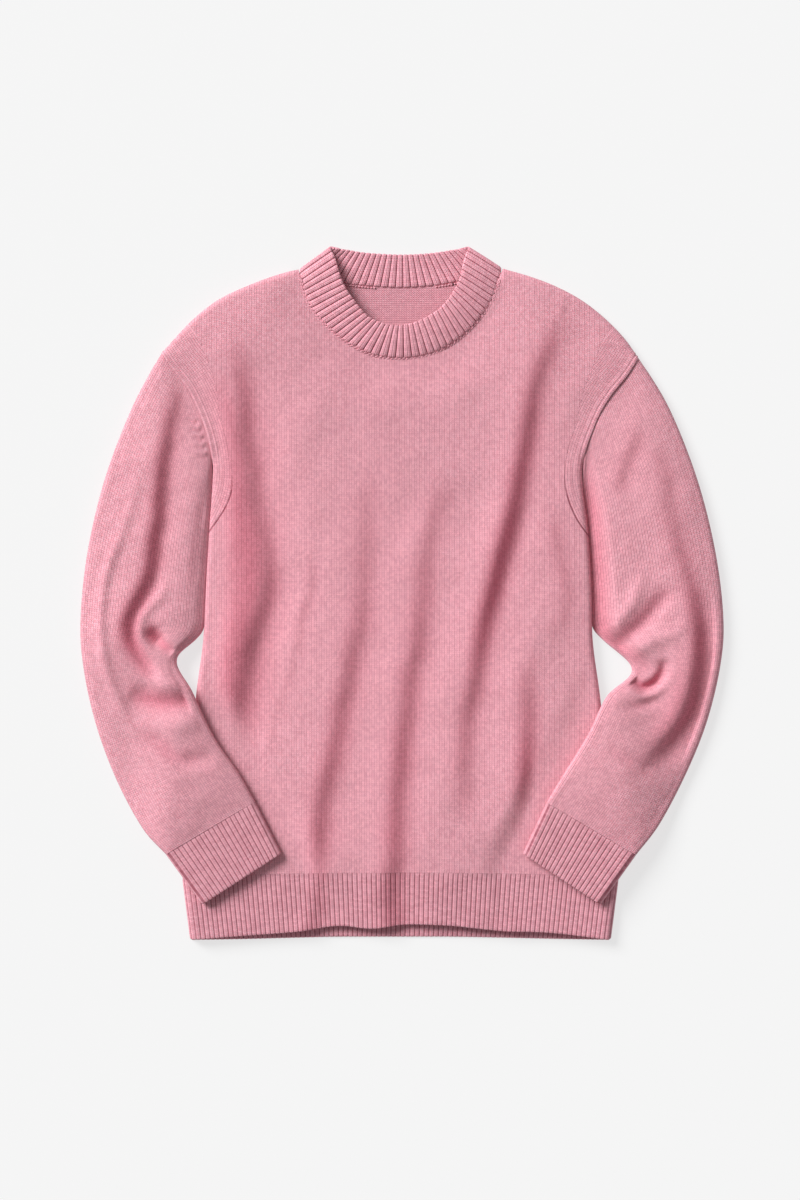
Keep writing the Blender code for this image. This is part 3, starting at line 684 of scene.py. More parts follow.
def frontFolds(x, y):
    _, inset, fromNeck = onFront(x, y)
    folds, deep = creased(x, y, body["folds"], [])
    folds = folds + sum(ripple(x, y, size, seed) * height for size, seed, height in body["swells"])
    fromSide, fromCollar = body["foldsFrom"]
    kept = fade(inset / fromSide) * fade(fromNeck / fromCollar) * (1 - pressed(x, y))
    return folds * kept, deep * kept


def frontTop(x, y):
    across, _, fromNeck = onFront(x, y)
    crown = body["crown"] * (1 - np.clip(np.abs(across), 0, 1) ** 4)
    fromCollar, aboveHem, over = body["crownFrom"]
    crown = crown * fade(fromNeck / fromCollar) * (1 - fade((body["hemSeamSide"] + aboveHem - y) / over))
    return body["edgeTop"] + crown * (1 - pressed(x, y)) + frontFolds(x, y)[0]


def turned(steps, curl, height):
    # reach and fall of each step of an edge, which curls down to the back or runs on level
    share = (np.arange(1, steps + 1) / steps)[:, None]
    arc = np.arccos(np.clip(1 - (height - body["backSeamZ"]) / body["turn"], -1, 1))
    reach = curl * body["turn"] * np.sin(arc * share) + (1 - curl) * body["seamReach"] * share
    fall = curl * body["turn"] * (1 - np.cos(arc * share))
    return reach, fall


def rolled(grid, edge, outward, curl, steps):
    # the grid with one more edge, turned down where it curls
    base = {"top": grid[-1], "left": grid[:, 0], "right": grid[:, -1]}[edge]
    reach, fall = turned(steps, curl[None], base[None, :, 2])
    more = np.repeat(base[None], steps, axis=0)
    more[..., :2] += reach[..., None] * outward[None]
    more[..., 2] -= fall
    if edge == "top":
        return np.concatenate([grid, more], axis=0)
    more = more.transpose(1, 0, 2)
    if edge == "left":
        return np.concatenate([more[:, ::-1], grid], axis=1)
    return np.concatenate([grid, more], axis=1)


def neckSeam(rows, count, gap):
    points = spread([row[:2] for row in rows], count)
    return points - gap * planNormals(points)


def hemSeam(x):
    left, right = body["side"][2][1:]
    bow = 1 - ((2 * x - left - right) / (right - left)) ** 2
    return body["hemSeamSide"] + (body["hemSeamMiddle"] - body["hemSeamSide"]) * bow


def sideAndShoulder(side, sideCount, shoulderCount):
    # outline and base of one side and shoulder of the front, meeting in the corner at the shoulder tip
    turn, reach = body["turn"], body["seamReach"]
    edge = [(row[1 + side], row[0]) for row in body["side"][2:-1]]
    edge += [(row[2 * side], row[2 * side + 1]) for row in body["armhole"]]
    edge[0] = (edge[0][0], body["hemSeamSide"])
    edge = spread(edge, 200)
    shoulder = spread([(row[2 * side], row[2 * side + 1]) for row in body["shoulder"]], 100)
    up = (edge[-1] - edge[-9]) / np.linalg.norm(edge[-1] - edge[-9])
    along = (shoulder[9] - shoulder[0]) / np.linalg.norm(shoulder[9] - shoulder[0])
    slant = abs(up[0] * along[1] - up[1] * along[0])
    corner = edge[-1] - up * turn / slant + along * reach / slant
    outline = cut(edge, 0, lengths(edge)[-1] - turn / slant, sideCount)
    below, over = body["curlBelow"]
    curl = fade((below - outline[:, 1]) / over)
    square = planNormals(outline) * (1 if side == 0 else -1)
    square[0] = (-1 if side == 0 else 1, 0)
    base = outline - square * (curl * turn + (1 - curl) * reach)[:, None]
    base[-1] = corner
    top = cut(shoulder, reach / slant, lengths(shoulder)[-1], shoulderCount)
    topBase = top - planNormals(top) * turn * (1 if side == 0 else -1)
    topBase[0] = corner
    return outline, base, curl, top, topBase


def frontGrid():
    shoulderCount = body["shoulderColumns"]
    rows = body["rows"]
    steps = body["turnSteps"]
    turn, reach = body["turn"], body["seamReach"]
    left, leftBase, leftCurl, leftTop, leftTopBase = sideAndShoulder(0, rows + 1, shoulderCount)
    right, rightBase, rightCurl, rightTop, rightTopBase = sideAndShoulder(1, rows + 1, shoulderCount)
    collar = neckSeam(neck["sections"][1:12], body["neckColumns"], neck["gap"])
    collarBase = collar - planNormals(collar) * reach
    point, pointBase = body["neckPoint"], body["neckPointBase"]
    top = np.concatenate([leftTop, [point[:2]], collar, [point[2:]], rightTop[::-1]])
    topBase = [leftTopBase, [pointBase[:2]], collarBase, [pointBase[2:]], rightTopBase[::-1]]
    topBase = np.concatenate(topBase)
    topCurl = np.zeros(len(top))
    topCurl[:shoulderCount] = topCurl[-shoulderCount:] = 1
    topCurl[shoulderCount] = topCurl[-shoulderCount - 1] = body["neckPointCurl"]
    topOut = (top - topBase) / (topCurl * turn + (1 - topCurl) * reach)[:, None]
    share = np.maximum.accumulate(topBase[:, 0] + np.arange(len(top)) * body["columnsApart"])
    share = (share - share[0]) / (share[-1] - share[0])
    x = leftBase[0, 0] + (rightBase[0, 0] - leftBase[0, 0]) * share
    bottom = np.stack([x, hemSeam(x)], axis=1)
    bottom[0], bottom[-1] = leftBase[0], rightBase[0]
    p = share[None, :, None]
    q = np.linspace(0, 1, rows + 1)[:, None, None]
    plan = (1 - q) * bottom[None] + q * topBase[None]
    leftBend = leftBase[:, None] - plan[:, :1]
    rightBend = rightBase[:, None] - plan[:, -1:]
    plan = plan + leftBend * (1 - p) ** body["sideBend"] + rightBend * p ** body["sideBend"]
    height = frontTop(plan[..., 0], plan[..., 1])
    grid = np.concatenate([plan, height[..., None]], axis=2)
    grid = rolled(grid, "top", topOut, topCurl, steps)
    for edge, outline, base, curl in (
        ("left", left, leftBase, leftCurl),
        ("right", right, rightBase, rightCurl),
    ):
        out = (outline - base) / (curl * turn + (1 - curl) * reach)[:, None]
        out = np.concatenate([out, np.repeat(out[-1:], steps, axis=0)])
        curl = np.concatenate([curl, np.zeros(steps)])
        grid = rolled(grid, edge, out, curl, steps)
    return grid


def armholeBand(x, y):
    # beside each armhole the wales run with the seam: distance from it, place along it, and how far
    # a point is past the band's inner edge
    best = None
    band = body["band"]
    for path, bulge in zip(body["bandPaths"], band["bulges"]):
        path = spread(path, 40)
        path = np.column_stack([path, lengths(path)])
        far, _, along = awayFrom(x, y, path)
        at, over = band["bulgeAt"]
        width = band["wide"] - band["less"] * fade(along / band["over"]) + bulge * bell(along - at, over)
        new = [far, along, far - width]
        best = new if best is None else [np.where(far < best[0], *pair) for pair in zip(new, best)]
    return best


def frontUv(grid, steps):
    # across the front its X, and on past the turned edges the length along the cloth
    u = grid[..., 0].copy()
    across = lengths(grid, axis=1)
    right = grid.shape[1] - 1 - steps
    u[:, :steps] = u[:, [steps]] - (across[:, [steps]] - across[:, :steps])
    u[:, right + 1 :] = u[:, [right]] + (across[:, right + 1 :] - across[:, [right]])
    return np.stack([u, lengths(grid, axis=0)], axis=2)


def ribPlaces(ribs, perRib):
    # places across a ribbed band, in ribs
    return np.arange(ribs * perRib + 1) / perRib


def ribProfile(at, sharp=0.55):
    # height of the ribs at such places, 0 to 1
    local = np.abs(at % 1 - 0.5) * 2
    return np.clip(1 - local**2.6, 0, 1) ** sharp


def bandUv(grid, at, pitch):
    v = lengths(grid, axis=0)
    return np.stack([np.broadcast_to(at * pitch, v.shape), v], axis=2)


def hemPlan(inset, edgeColumn, rows, lap):
    # places across a hem band in ribs, and its points in plan, from its edge up to its seam
    at = ribPlaces(body["hemRibs"], body["hemRibColumns"])
    share = at / body["hemRibs"]
    edge = np.array(body["hemEdge"], float)
    seamLeft, seamRight = body["side"][2][1:]
    topX = seamLeft + inset + (seamRight - seamLeft - 2 * inset) * share
    lowX = edge[0, 0] + inset + (edge[-1, 0] - edge[0, 0] - 2 * inset) * share
    lowY = smooth(edge[:, 0], edge[:, edgeColumn], lowX)
    q = np.linspace(0, 1, rows)[:, None]
    return at, lowX + (topX - lowX) * q, lowY + (hemSeam(topX) + lap - lowY) * q, hemSeam(topX)


def makeFront():
    grid = frontGrid()
    x, y = grid[..., 0], grid[..., 1]
    far, along, past = armholeBand(x, y)
    start, over = body["cordsFrom"]
    cord = sum(bell(far - off, width) * height for off, width, height in body["cords"])
    cord = cord * fade((y - start) / over)
    # paintedShade: painted shade in the folds of the front
    marked = {"bandFar": far, "bandAlong": along, "bandPast": past, "paintedShade": frontFolds(x, y)[1]}
    uv = frontUv(grid, body["turnSteps"])
    front = clothShell("frontPanel", grid, uv, body["wall"], False, relief=cord, marked=marked)
    return dress(front, "frontKnit", "purl")


def makeFrontHem():
    at, x, y, seamY = hemPlan(body["turn"], 1, body["hemRows"][0], body["seamLap"])
    grown = fade((seamY - y) / body["ribsGrow"])
    grid = np.stack([x, y, frontTop(x, y) - body["ribRise"] * grown - body["hemSink"]], axis=2)
    steps = body["turnSteps"]
    flat = np.ones(len(grid))
    outward = np.tile([-1.0, 0.0], (len(grid), 1))
    grid = rolled(grid, "left", outward, flat, steps)
    grid = rolled(grid, "right", -outward, flat, steps)
    ends = np.arange(1, steps + 1) * body["endRibStep"]
    at = np.concatenate([at[0] - ends[::-1], at, at[-1] + ends])
    grown = np.concatenate([grown[:, :1]] * steps + [grown] + [grown[:, -1:]] * steps, axis=1)
    relief = ribProfile(at)[None] * grown * body["ribRise"]
    # paintedShade: the painted shade of the front's folds carries on over the hem
    marked = {"paintedShade": frontFolds(grid[..., 0], grid[..., 1])[1]}
    uv = bandUv(grid, at, yarn["ribPitch"])
    rims = body["hemRims"][0]
    hem = clothShell("hemFront", grid, uv, body["ribWall"], False, rims, relief, marked=marked)
    return dress(hem, "rib", "rib")


def makeBack():
    # the back lies flat: a grid between its two sides, its inside face up
    y = np.linspace(body["hemSeamSide"], body["backTop"], body["backRows"])
    left, right = outlineAt(y)
    left = left + body["backInset"]
    right = right - body["backInset"]
    x = left[:, None] + (right - left)[:, None] * np.linspace(0, 1, body["backColumns"])
    seam = neckSeam(neck["sections"][13:20][::-1], 40, neck["gap"] + body["backNeckGap"])
    past = body["backTop"] + 8  # beside the neckline nothing cuts the back short
    top = np.interp(x, seam[:, 0], seam[:, 1], left=past, right=past)
    yGrid = np.minimum(np.repeat(y[:, None], body["backColumns"], axis=1), top)
    yGrid[0] = hemSeam(x[0])
    yGrid = np.maximum.accumulate(yGrid, axis=0)
    grid = np.stack([x, yGrid, np.zeros_like(x)], axis=2)[:, ::-1]
    return dress(clothShell("backPanel", grid, grid[..., :2], body["wall"], False), "knit", "purl")


def makeBackHem():
    at, x, y, _ = hemPlan(body["backInset"], 2, body["hemRows"][1], -body["hemGap"])
    grid = np.stack([x, y, np.zeros_like(x)], axis=2)[:, ::-1]
    relief = np.tile(ribProfile(at)[::-1] * body["ribRise"], (len(grid), 1))
    uv = bandUv(grid, at[::-1], yarn["ribPitch"])
    rims = body["hemRims"][1]
    hem = clothShell("hemBack", grid, uv, body["ribWall"], False, rims, backRelief=relief)
    return dress(hem, "rib", "rib")


sleeves = {
    "rows": 210,
    "topColumns": 72,
    "underColumns": 16,
    "turnSteps": 7,
    "wall": 2.0,
    "sections": {  # inner x, y, outer x, y, loft, crown, lift onto the body
        "left": [
            (-191.6, 139, -241.8, 240.6, 12.7, 0.0, 0.0),
            (-192.2, 95, -271, 185, 13.0, 3.6, 0.0),
            (-194.8, 50, -298, 114, 13.2, 5.0, 0.0),
            (-198.2, 5, -315, 42, 13.2, 5.4, 0.0),
            (-200.8, -38, -322, -24, 13.2, 5.6, 0.0),
            (-225, -66, -319.5, -72, 13.0, 5.6, 0.6),
            (-209, -98, -307, -130, 12.6, 5.0, 1.0),
            (-188, -142, -286, -187, 11.6, 4.6, 1.0),
            (-163, -179, -260, -234, 10.9, 2.8, 1.0),
            (-147, -207, -236, -260, 8.9, 0.3, 1.0),
        ],
        "right": [
            (183.8, 139, 237.8, 235.6, 12.7, 0.0, 0.0),
            (183.8, 95, 268, 185, 13.0, 4.0, 0.0),
            (188.2, 50, 296, 114, 13.2, 6.4, 0.0),
            (191.7, 5, 314, 42, 13.2, 7.0, 0.0),
            (193.8, -37, 322, -24, 13.2, 7.0, 0.0),
            (230, -75, 319, -72, 13.0, 6.6, 0.6),
            (204, -103, 305, -130, 12.6, 5.8, 1.0),
            (184, -143, 283, -184, 11.6, 4.6, 1.0),
            (160, -182, 258, -230, 10.9, 2.8, 1.0),
            (144.5, -208, 234, -260.5, 8.9, 0.3, 1.0),
        ],
    },
    "folds": {
        "left": [
            (5.4, 7, 24, 20, [
                (-224, 208, 0.2), (-226, 193, 0.45), (-231, 173, 0.65), (-234, 153, 0.75),
                (-238, 133, 0.9), (-240, 113, 0.95), (-242, 93, 1), (-243, 73, 1), (-247, 53, 1.1),
                (-249, 33, 1.1), (-254, 13, 1.1), (-264, -7, 1.15), (-273, -27, 1.2),
                (-273, -44, 1.2), (-266, -59, 1), (-257, -73, 0.7), (-247, -88, 0)]),
        ],
        "right": [
            (5.6, 8, 24, 18, [
                (253, 153, 0), (257, 133, 0.2), (264, 113, 0.3), (266, 93, 0.3), (270, 73, 0.35),
                (275, 53, 0.45), (281, 33, 0.5), (286, 13, 0.55), (292, -7, 0.8), (296, -27, 1),
                (297, -47, 1.15), (296, -67, 1.15), (293, -87, 1.15), (289, -107, 1.15),
                (280, -127, 1.1), (266, -147, 0.9), (250, -162, 0.5), (234, -176, 0.2),
                (215, -185, 0)]),
            (1.8, 7, 14, 14, [(240, 170, 0), (234, 153, 0.8), (226, 133, 1), (219, 113, 1),
                              (214, 90, 0)]),
            (3.0, 14, 24, 26, [(299, -40, 0), (294, -70, 0.8), (286, -105, 1.2),
                               (272, -135, 1.2), (256, -155, 0.8), (238, -170, 0)]),
        ],
    },
    "dents": {
        "left": [
            (3.0, 6, [(-262, 140, 0), (-265, 110, 0.4), (-273, 80, 0.5), (-283, 53, 0.8),
                      (-291, 33, 1), (-297, 13, 1.1), (-300, -7, 1.1), (-301, -27, 1.1),
                      (-300, -47, 1.1), (-297, -67, 1.1), (-291, -87, 1), (-283, -107, 0.8),
                      (-274, -125, 0.5), (-262, -145, 0)]),
            (-1.2, 7, [(-196, 103, 0.3), (-198, 83, 0.8), (-200, 63, 1), (-203, 43, 1),
                       (-205, 23, 1), (-209, 3, 0.2)]),
            (3.5, 6, [(-233, 20, 0), (-240, 0, 0.6), (-252, -14, 0.9), (-260, -26, 1),
                      (-261, -44, 1), (-254, -58, 1), (-246, -70, 0.9), (-237, -84, 0.6),
                      (-228, -95, 0)]),
            (-8.5, 8, [(-247, -42, 1), (-245, -45, 1)]),
            (-5.5, 5, [(-243, -47, 0.6), (-234, -55, 1), (-229, -59, 0.5), (-224, -64, 0)]),
            (-6.4, 11, [(-272, -99, 0), (-262, -104, 0.6), (-250, -108, 0.9), (-238, -110, 1),
                       (-219, -110, 1), (-207, -106, 0.9), (-200, -101, 0.6)]),
            (3.0, 8, [(-258, -84, 0.4), (-242, -90, 1), (-224, -91, 0.9), (-212, -88, 0.4)]),
            (1.4, 9, [(-255, -126, 0.2), (-240, -131, 0.8), (-225, -132, 1), (-206, -128, 0.6)]),
            (-2.8, 9, [(-256, -142, 0.3), (-246, -148, 0.8), (-232, -158, 1), (-220, -167, 1),
                       (-208, -166, 1), (-196, -164, 0.6)]),
            (1.5, 2.3, [(-214, 178, 0.5), (-207, 174, 1)]),
            (-1.5, 2.0, [(-213, 174, 0.5), (-206, 170.5, 1)]),
            (1.4, 2.3, [(-210, 169, 0.5), (-203, 166, 1)]),
            (-1.5, 2.0, [(-209, 165, 0.5), (-202, 162, 1)]),
            (1.4, 2.3, [(-207, 160, 0.5), (-201, 157.5, 1)]),
            (-1.5, 2.0, [(-206, 156, 0.5), (-200, 153.5, 1)]),
            (1.3, 2.3, [(-205, 151, 0.5), (-199, 149, 1)]),
            (-1.4, 2.0, [(-204, 147, 0.5), (-198, 145, 1)]),
            (1.3, 2.3, [(-203, 142, 0.5), (-197, 140, 1)]),
            (-1.3, 2.0, [(-202, 137.5, 0.5), (-197, 136, 1)]),
        ],
        "right": [
            (2.5, 7, [(240, 20, 0.3), (231, -7, 1), (216, -27, 1), (206, -40, 0.5)]),
            (-5.4, 9, [(272, -2, 0.2), (264, -5, 0.6), (258, -10, 0.8), (250, -20, 0.9),
                       (241, -30, 1), (231, -40, 1), (222, -49, 0.9), (215, -57, 0.5)]),
            (2.6, 8, [(278, -36, 0.6), (262, -44, 1), (246, -50, 1), (232, -58, 0.8)]),
            (-7.5, 5.5, [(262, -72, 0.5), (259, -82, 0.9), (251, -91, 1.2), (241, -94, 1.1),
                         (232, -88, 0.6)]),
            (2.5, 5, [(262, -88, 0.4), (254, -98, 1), (240, -102, 1), (228, -97, 0.6)]),
            (-2.5, 6, [(256, -105, 0.4), (246, -110, 1), (233, -113, 0.8), (220, -113, 0.3)]),
            (-1.8, 7, [(212, -158, 0.6), (226, -168, 1), (242, -174, 0.8)]),
        ],
    },
    "cuffs": {  # inner x, y, outer x, y, loft
        "left": [(-146.8, -207.5, -235.6, -260.7, 8.2), (-121, -258.5, -200, -309.5, 8.0)],
        "right": [(144.2, -208.6, 233.6, -261.2, 8.2), (121, -258.5, 199, -309.5, 8.0)],
    },
    "pinch": {"left": 0.86, "right": 0.31},  # how thick the inner edge is, 1 for all of the loft
    "low": {"left": (0, 12), "right": (8, 19)},  # where the top rises from that edge, over how much
    "steep": {"left": 6, "right": 2.5},  # how square the crown is at its inner side
    "outerSteep": 3.5,
    "tuck": 1.2,
    "startDrop": 0.5,
    "besideUntil": (3.6, 0.6),  # the inner edge lies against the body up to here, in sections
    "bowUntil": 2.2,  # the armhole's curve is gone from here, in sections
    "under": {"until": 0.3, "left": (0.9, 0.44), "right": (-0.9, 0.44), "inner": 0.6, "outer": 1.1},
    "restGap": 0.6,
    "fall": (10, 58),  # off the body it comes down to the floor from here, over this length
    "swells": [(60, 11, 0.5), (22, 12, 0.2)],  # uneven lie of the cloth: size, seed, height
    "foldsFrom": (0.9, 0.05),  # folds fade with the crown, and towards the edges in widths
    # painted shadow on the sleeve's low inner side beside the body, where it lies lowest
    "lowShade": 0.8,
    "cuffLap": 0.5,
    "cuffRibs": 19,
    "cuffRibColumns": 10,
    "cuffRows": 24,
    "cuffUnderColumns": 60,
    "cuffTurnSteps": 6,
    "cuffRims": (0, 5),
    "cuffGrow": 0.09,  # the ribs rise to their height over this share of the cuff
    "cuffStart": 0.9,
    "cuffWall": 2.2,
}


def sleeveRest(side, x, y, lift):
    # height of what a sleeve lies on: the front, a slope beside it, or the floor
    left, right = outlineAt(y)
    outside = left - x if side == "left" else x - right
    start, over = sleeves["fall"]
    slope = 1 - fade((outside - start) / over)
    return np.clip(lift, 0, 1) * (body["edgeTop"] + sleeves["restGap"]) * slope


def armholeBow(side):
    # how far the armhole curves away from the straight line between its ends, by share of that line
    at = 0 if side == "left" else 1
    points = np.array([(row[2 * at], row[2 * at + 1]) for row in body["armhole"]], float)
    first = sleeves["sections"][side][0]
    start = np.array(first[:2])
    run = np.array(first[2:4]) - start
    share = ((points - start) @ run) / (run @ run)
    share[0] = 0
    share[-1] = 1
    off = points - start - share[:, None] * run
    off[0] = off[-1] = 0
    return lambda where: smooth(share, off, where)


def tubeGrid(side, sections, bow, topShare, underColumns, steps):
    # a flattened tube, a ring for each section, and how much painted shade its cloth gets
    bowAt = armholeBow(side)
    folds, dents = sleeves["folds"][side], sleeves["dents"][side]
    halfTurn = np.pi / 2 - np.arange(1, steps + 1) / (steps + 1) * np.pi
    rings = []
    paintedShades = []
    for section, bowed in zip(sections, bow):
        inner = np.array(section[:2])
        outer = np.array(section[2:4])
        loft, crown, lift = section[4:7]
        width = np.linalg.norm(outer - inner)
        outward = (outer - inner) / width
        radius = loft / 2
        pinch = sleeves["pinch"][side]
        edge = radius * (pinch + (1 - pinch) * max(min(lift, 1), bowed**2))
        wide = width - radius - edge

        def place(distance):
            return inner + outward * distance[:, None] + bowed * bowAt(distance / width)

        topPlan = place(edge + wide * topShare)
        underPlan = place(edge + wide * np.linspace(1, 0, underColumns + 1))
        under = sleeveRest(side, underPlan[:, 0], underPlan[:, 1], lift)
        x, y = topPlan.T
        base = sleeveRest(side, x, y, lift)
        steep = np.where(topShare < 0.5, sleeves["steep"][side], sleeves["outerSteep"])
        swell = crown * (1 - np.abs(2 * topShare - 1) ** steep)
        dent, deep = creased(x, y, folds, dents)
        dent = dent + sum(ripple(x, y, size, seed) * height for size, seed, height in sleeves["swells"])
        fromCrown, fromEdge = sleeves["foldsFrom"]
        kept = fade(crown / fromCrown) * fade(np.minimum(topShare, 1 - topShare) / fromEdge)
        dent = dent * kept
        start, rise = sleeves["low"][side]
        low = (loft - 2 * edge) * (1 - fade((edge + wide * topShare - start) / rise))
        top = base + loft + swell + dent - low
        far = place(width - radius + radius * np.cos(halfTurn))
        farZ = base[-1] + radius + radius * np.sin(halfTurn)
        near = place(edge - edge * np.cos(halfTurn[::-1]))
        nearZ = base[0] + edge + edge * np.sin(halfTurn[::-1])
        plan = np.concatenate([topPlan, far, underPlan, near])
        z = np.concatenate([top, farZ, under, nearZ])
        rings.append(np.concatenate([plan, z[:, None]], axis=1))
        # painted shadow: where the inner side lies low beside the body its colour is made deeper, standing
        # in for the body's shadow on it
        deep = np.maximum(deep * kept, low / loft * sleeves["lowShade"])
        paintedShades.append(np.concatenate([deep, np.zeros(len(z) - len(deep))]))
    return np.array(rings), np.array(paintedShades)


def closedUv(grid, across):
    # the column that closes the tube is marked twice
    v = lengths(grid, axis=0)
    middle = v[:, [len(across) // 3]]
    v = np.repeat(middle, len(across), axis=1)
    return np.stack([np.broadcast_to(across, v.shape), v], axis=2)


def makeSleeve(side):
    table = np.array(sleeves["sections"][side], float)
    table[0, 4] -= sleeves["startDrop"]
    end = sleeves["cuffs"][side]
    for first in (0, 2):
        run = np.array(end[1][first : first + 2]) - np.array(end[0][first : first + 2])
        table[-1, first : first + 2] += run / np.linalg.norm(run) * sleeves["cuffLap"]
    at = np.linspace(0, len(table) - 1, sleeves["rows"] + 1)
    sections = smooth(np.arange(len(table)), table, at)
    # above the elbow the sleeve's inner edge lies against the side of the body
    left, right = outlineAt(sections[:, 1])
    beside = left + sleeves["tuck"] if side == "left" else right - sleeves["tuck"]
    until, over = sleeves["besideUntil"]
    sections[:, 0] += (beside - sections[:, 0]) * (1 - fade((at - until) / over))
    # its first rings reach a little under the armhole's edge
    under = sleeves["under"]
    inward = (1 - fade(at / under["until"]))[:, None] * np.array(under[side])
    sections[:, :2] += inward * under["inner"]
    sections[:, 2:4] += inward * under["outer"]
    bow = (1 - fade(at / sleeves["bowUntil"])) ** 1.5
    topShare = np.linspace(0, 1, sleeves["topColumns"] + 1)
    grid, paintedShade = tubeGrid(
        side, sections, bow, topShare, sleeves["underColumns"], sleeves["turnSteps"]
    )
    across = lengths(np.concatenate([grid, grid[:, :1]], axis=1), axis=1).mean(axis=0)
    if side == "right":
        grid = grid[:, ::-1]
        paintedShade = paintedShade[:, ::-1]
        across = across[-1] - across[::-1]
        across = np.concatenate([across[1:], [across[-1] + across[1]]])
    uv = closedUv(grid, across)
    # paintedShade: painted shade in the sleeve's folds and dents, and painted shadow beside the body
    marked = {"paintedShade": paintedShade}
    sleeve = clothShell("sleeve" + side.title(), grid, uv, sleeves["wall"], True, marked=marked)
    return dress(sleeve, "knit", "purl")


def makeCuff(side):
    ribs = sleeves["cuffRibs"]
    at = ribPlaces(ribs, sleeves["cuffRibColumns"])
    raised = ribProfile(at)
    ends = np.array([row + (0.0, 1.0) for row in sleeves["cuffs"][side]], float)
    q = np.linspace(0, 1, sleeves["cuffRows"])
    sections = ends[0] + (ends[1] - ends[0]) * q[:, None]
    under, steps = sleeves["cuffUnderColumns"], sleeves["cuffTurnSteps"]
    grid, _ = tubeGrid(side, sections, np.zeros(len(q)), at / ribs, under, steps)
    rest = grid.shape[1] - len(raised)
    at = np.concatenate([at, ribs + np.arange(rest) / rest * ribs, [2 * ribs]])
    relief = np.concatenate([raised, np.zeros(rest)])
    if side == "right":
        grid = grid[:, ::-1]
        relief = relief[::-1]
        at = np.concatenate([at[:-1][::-1], [at[0]]])
    uv = closedUv(grid, at * yarn["ribPitch"])
    grown = fade(q / sleeves["cuffGrow"])[:, None]
    relief = relief[None] * body["ribRise"] * grown
    # at the seam, before its ribs rise, the cuff is as thick as the sleeve
    upper = grid[..., 2] > grid[..., 2].mean()
    grid[..., 2] += (1 - grown) * body["ribRise"] * upper * sleeves["cuffStart"]
    wall, rims = sleeves["cuffWall"], sleeves["cuffRims"]
    cuff = clothShell("cuff" + side.title(), grid, uv, wall, True, rims, relief)
    return dress(cuff, "rib", "rib")


def makeNeckband():
    # on the front of the collar the ribs are on its outer face, on the back on its inner one, which shows
    table = np.array(neck["sections"] + neck["sections"][:1], float)
    wrapped = np.concatenate([table[-3:-1], table, table[1:3]])
    reach = lengths(wrapped[:, :3] * 0.5 + wrapped[:, 3:] * 0.5)
    at = ribPlaces(neck["ribs"], neck["columnsPerRib"])
    around = smooth(reach, wrapped, reach[2] + (reach[-3] - reach[2]) * at / neck["ribs"])[:-1]
    around[:, 2::3] = np.maximum(around[:, 2::3], 0)
    q = np.linspace(0, 1, neck["rows"])[:, None, None]
    grid = around[None, :, :3] * (1 - q) + around[None, :, 3:] * q
    low, over = neck["upFrom"]
    facingUp = fade((grid[..., 2].mean(axis=0) - low) / over)
    grid[..., 2] += np.sin(q[..., 0] * np.pi) * neck["bulge"] * facingUp
    relief = ribProfile(at, neck["ribSharp"])[:-1] * neck["rise"]
    uv = bandUv(np.concatenate([grid, grid[:, :1]], axis=1), at, yarn["neckRibPitch"])
    outside, inside = relief * facingUp, relief * (1 - facingUp)
    band = clothShell("neckBand", grid, uv, neck["wall"], True, neck["rims"], outside, inside)
    return dress(band, "neckRib", "neckRib")


stitches = {
    "chain": {"size": (3.7, 1.7, 1.6), "pitch": 3.7, "lean": 26, "off": 2.5, "z": 13.2},
    "beads": {"size": (2.5, 2.0, 1.9), "pitch": 3.0, "off": 3.2, "z": 3.1},
    "spans": [(-62, -26), (34, 60)],  # where the beads show
    "ball": {"Segments": 8, "Rings": 5, "Radius": 0.5},
}


def stitchRow(name, points, turns, size):
    # one rounded stitch at every point, turned about the upright
    source = bpy.data.meshes.new(name + "Places")
    source.from_pydata((np.asarray(points) * mm).tolist(), [], [])
    angles = np.zeros((len(points), 3), np.float32)
    angles[:, 2] = turns
    source.attributes.new("turn", "FLOAT_VECTOR", "POINT").data.foreach_set("vector", angles.ravel())
    holder = addObject(name + "Places", source)
    tree = bpy.data.node_groups.new(name, "GeometryNodeTree")
    tree.interface.new_socket("Places", in_out="INPUT", socket_type="NodeSocketGeometry")
    sized = tree.interface.new_socket("Size", in_out="INPUT", socket_type="NodeSocketVector")
    tree.interface.new_socket("Stitches", in_out="OUTPUT", socket_type="NodeSocketGeometry")

    start = addNode(tree, "NodeGroupInput")
    ball = addNode(tree, "GeometryNodeMeshUVSphere", values=stitches["ball"])
    turn = addNode(
        tree, "GeometryNodeInputNamedAttribute", {"data_type": "FLOAT_VECTOR"}, {"Name": "turn"}
    )
    placed = {
        "Points": start.outputs["Places"],
        "Instance": ball.outputs["Mesh"],
        "Rotation": turn.outputs["Attribute"],
        "Scale": start.outputs["Size"],
    }
    placed = addNode(tree, "GeometryNodeInstanceOnPoints", values=placed)
    joined = {"Geometry": placed.outputs["Instances"]}
    for kind in ("GeometryNodeRealizeInstances", "GeometryNodeSetShadeSmooth"):
        joined = {"Geometry": addNode(tree, kind, values=joined).outputs["Geometry"]}
    painted = addNode(tree, "GeometryNodeSetMaterial", values={**joined, "Material": materials["seam"]})
    addNode(tree, "NodeGroupOutput", values={"Stitches": painted.outputs["Geometry"]})
    modifier = holder.modifiers.new("stitches", "NODES")
    modifier.node_group = tree
    modifier[sized.identifier] = [part * mm for part in size]
    bpy.context.view_layer.update()
    evaluated = holder.evaluated_get(bpy.context.evaluated_depsgraph_get())
    piece = addObject(name, bpy.data.meshes.new_from_object(evaluated))
    bpy.data.objects.remove(holder)
    return piece


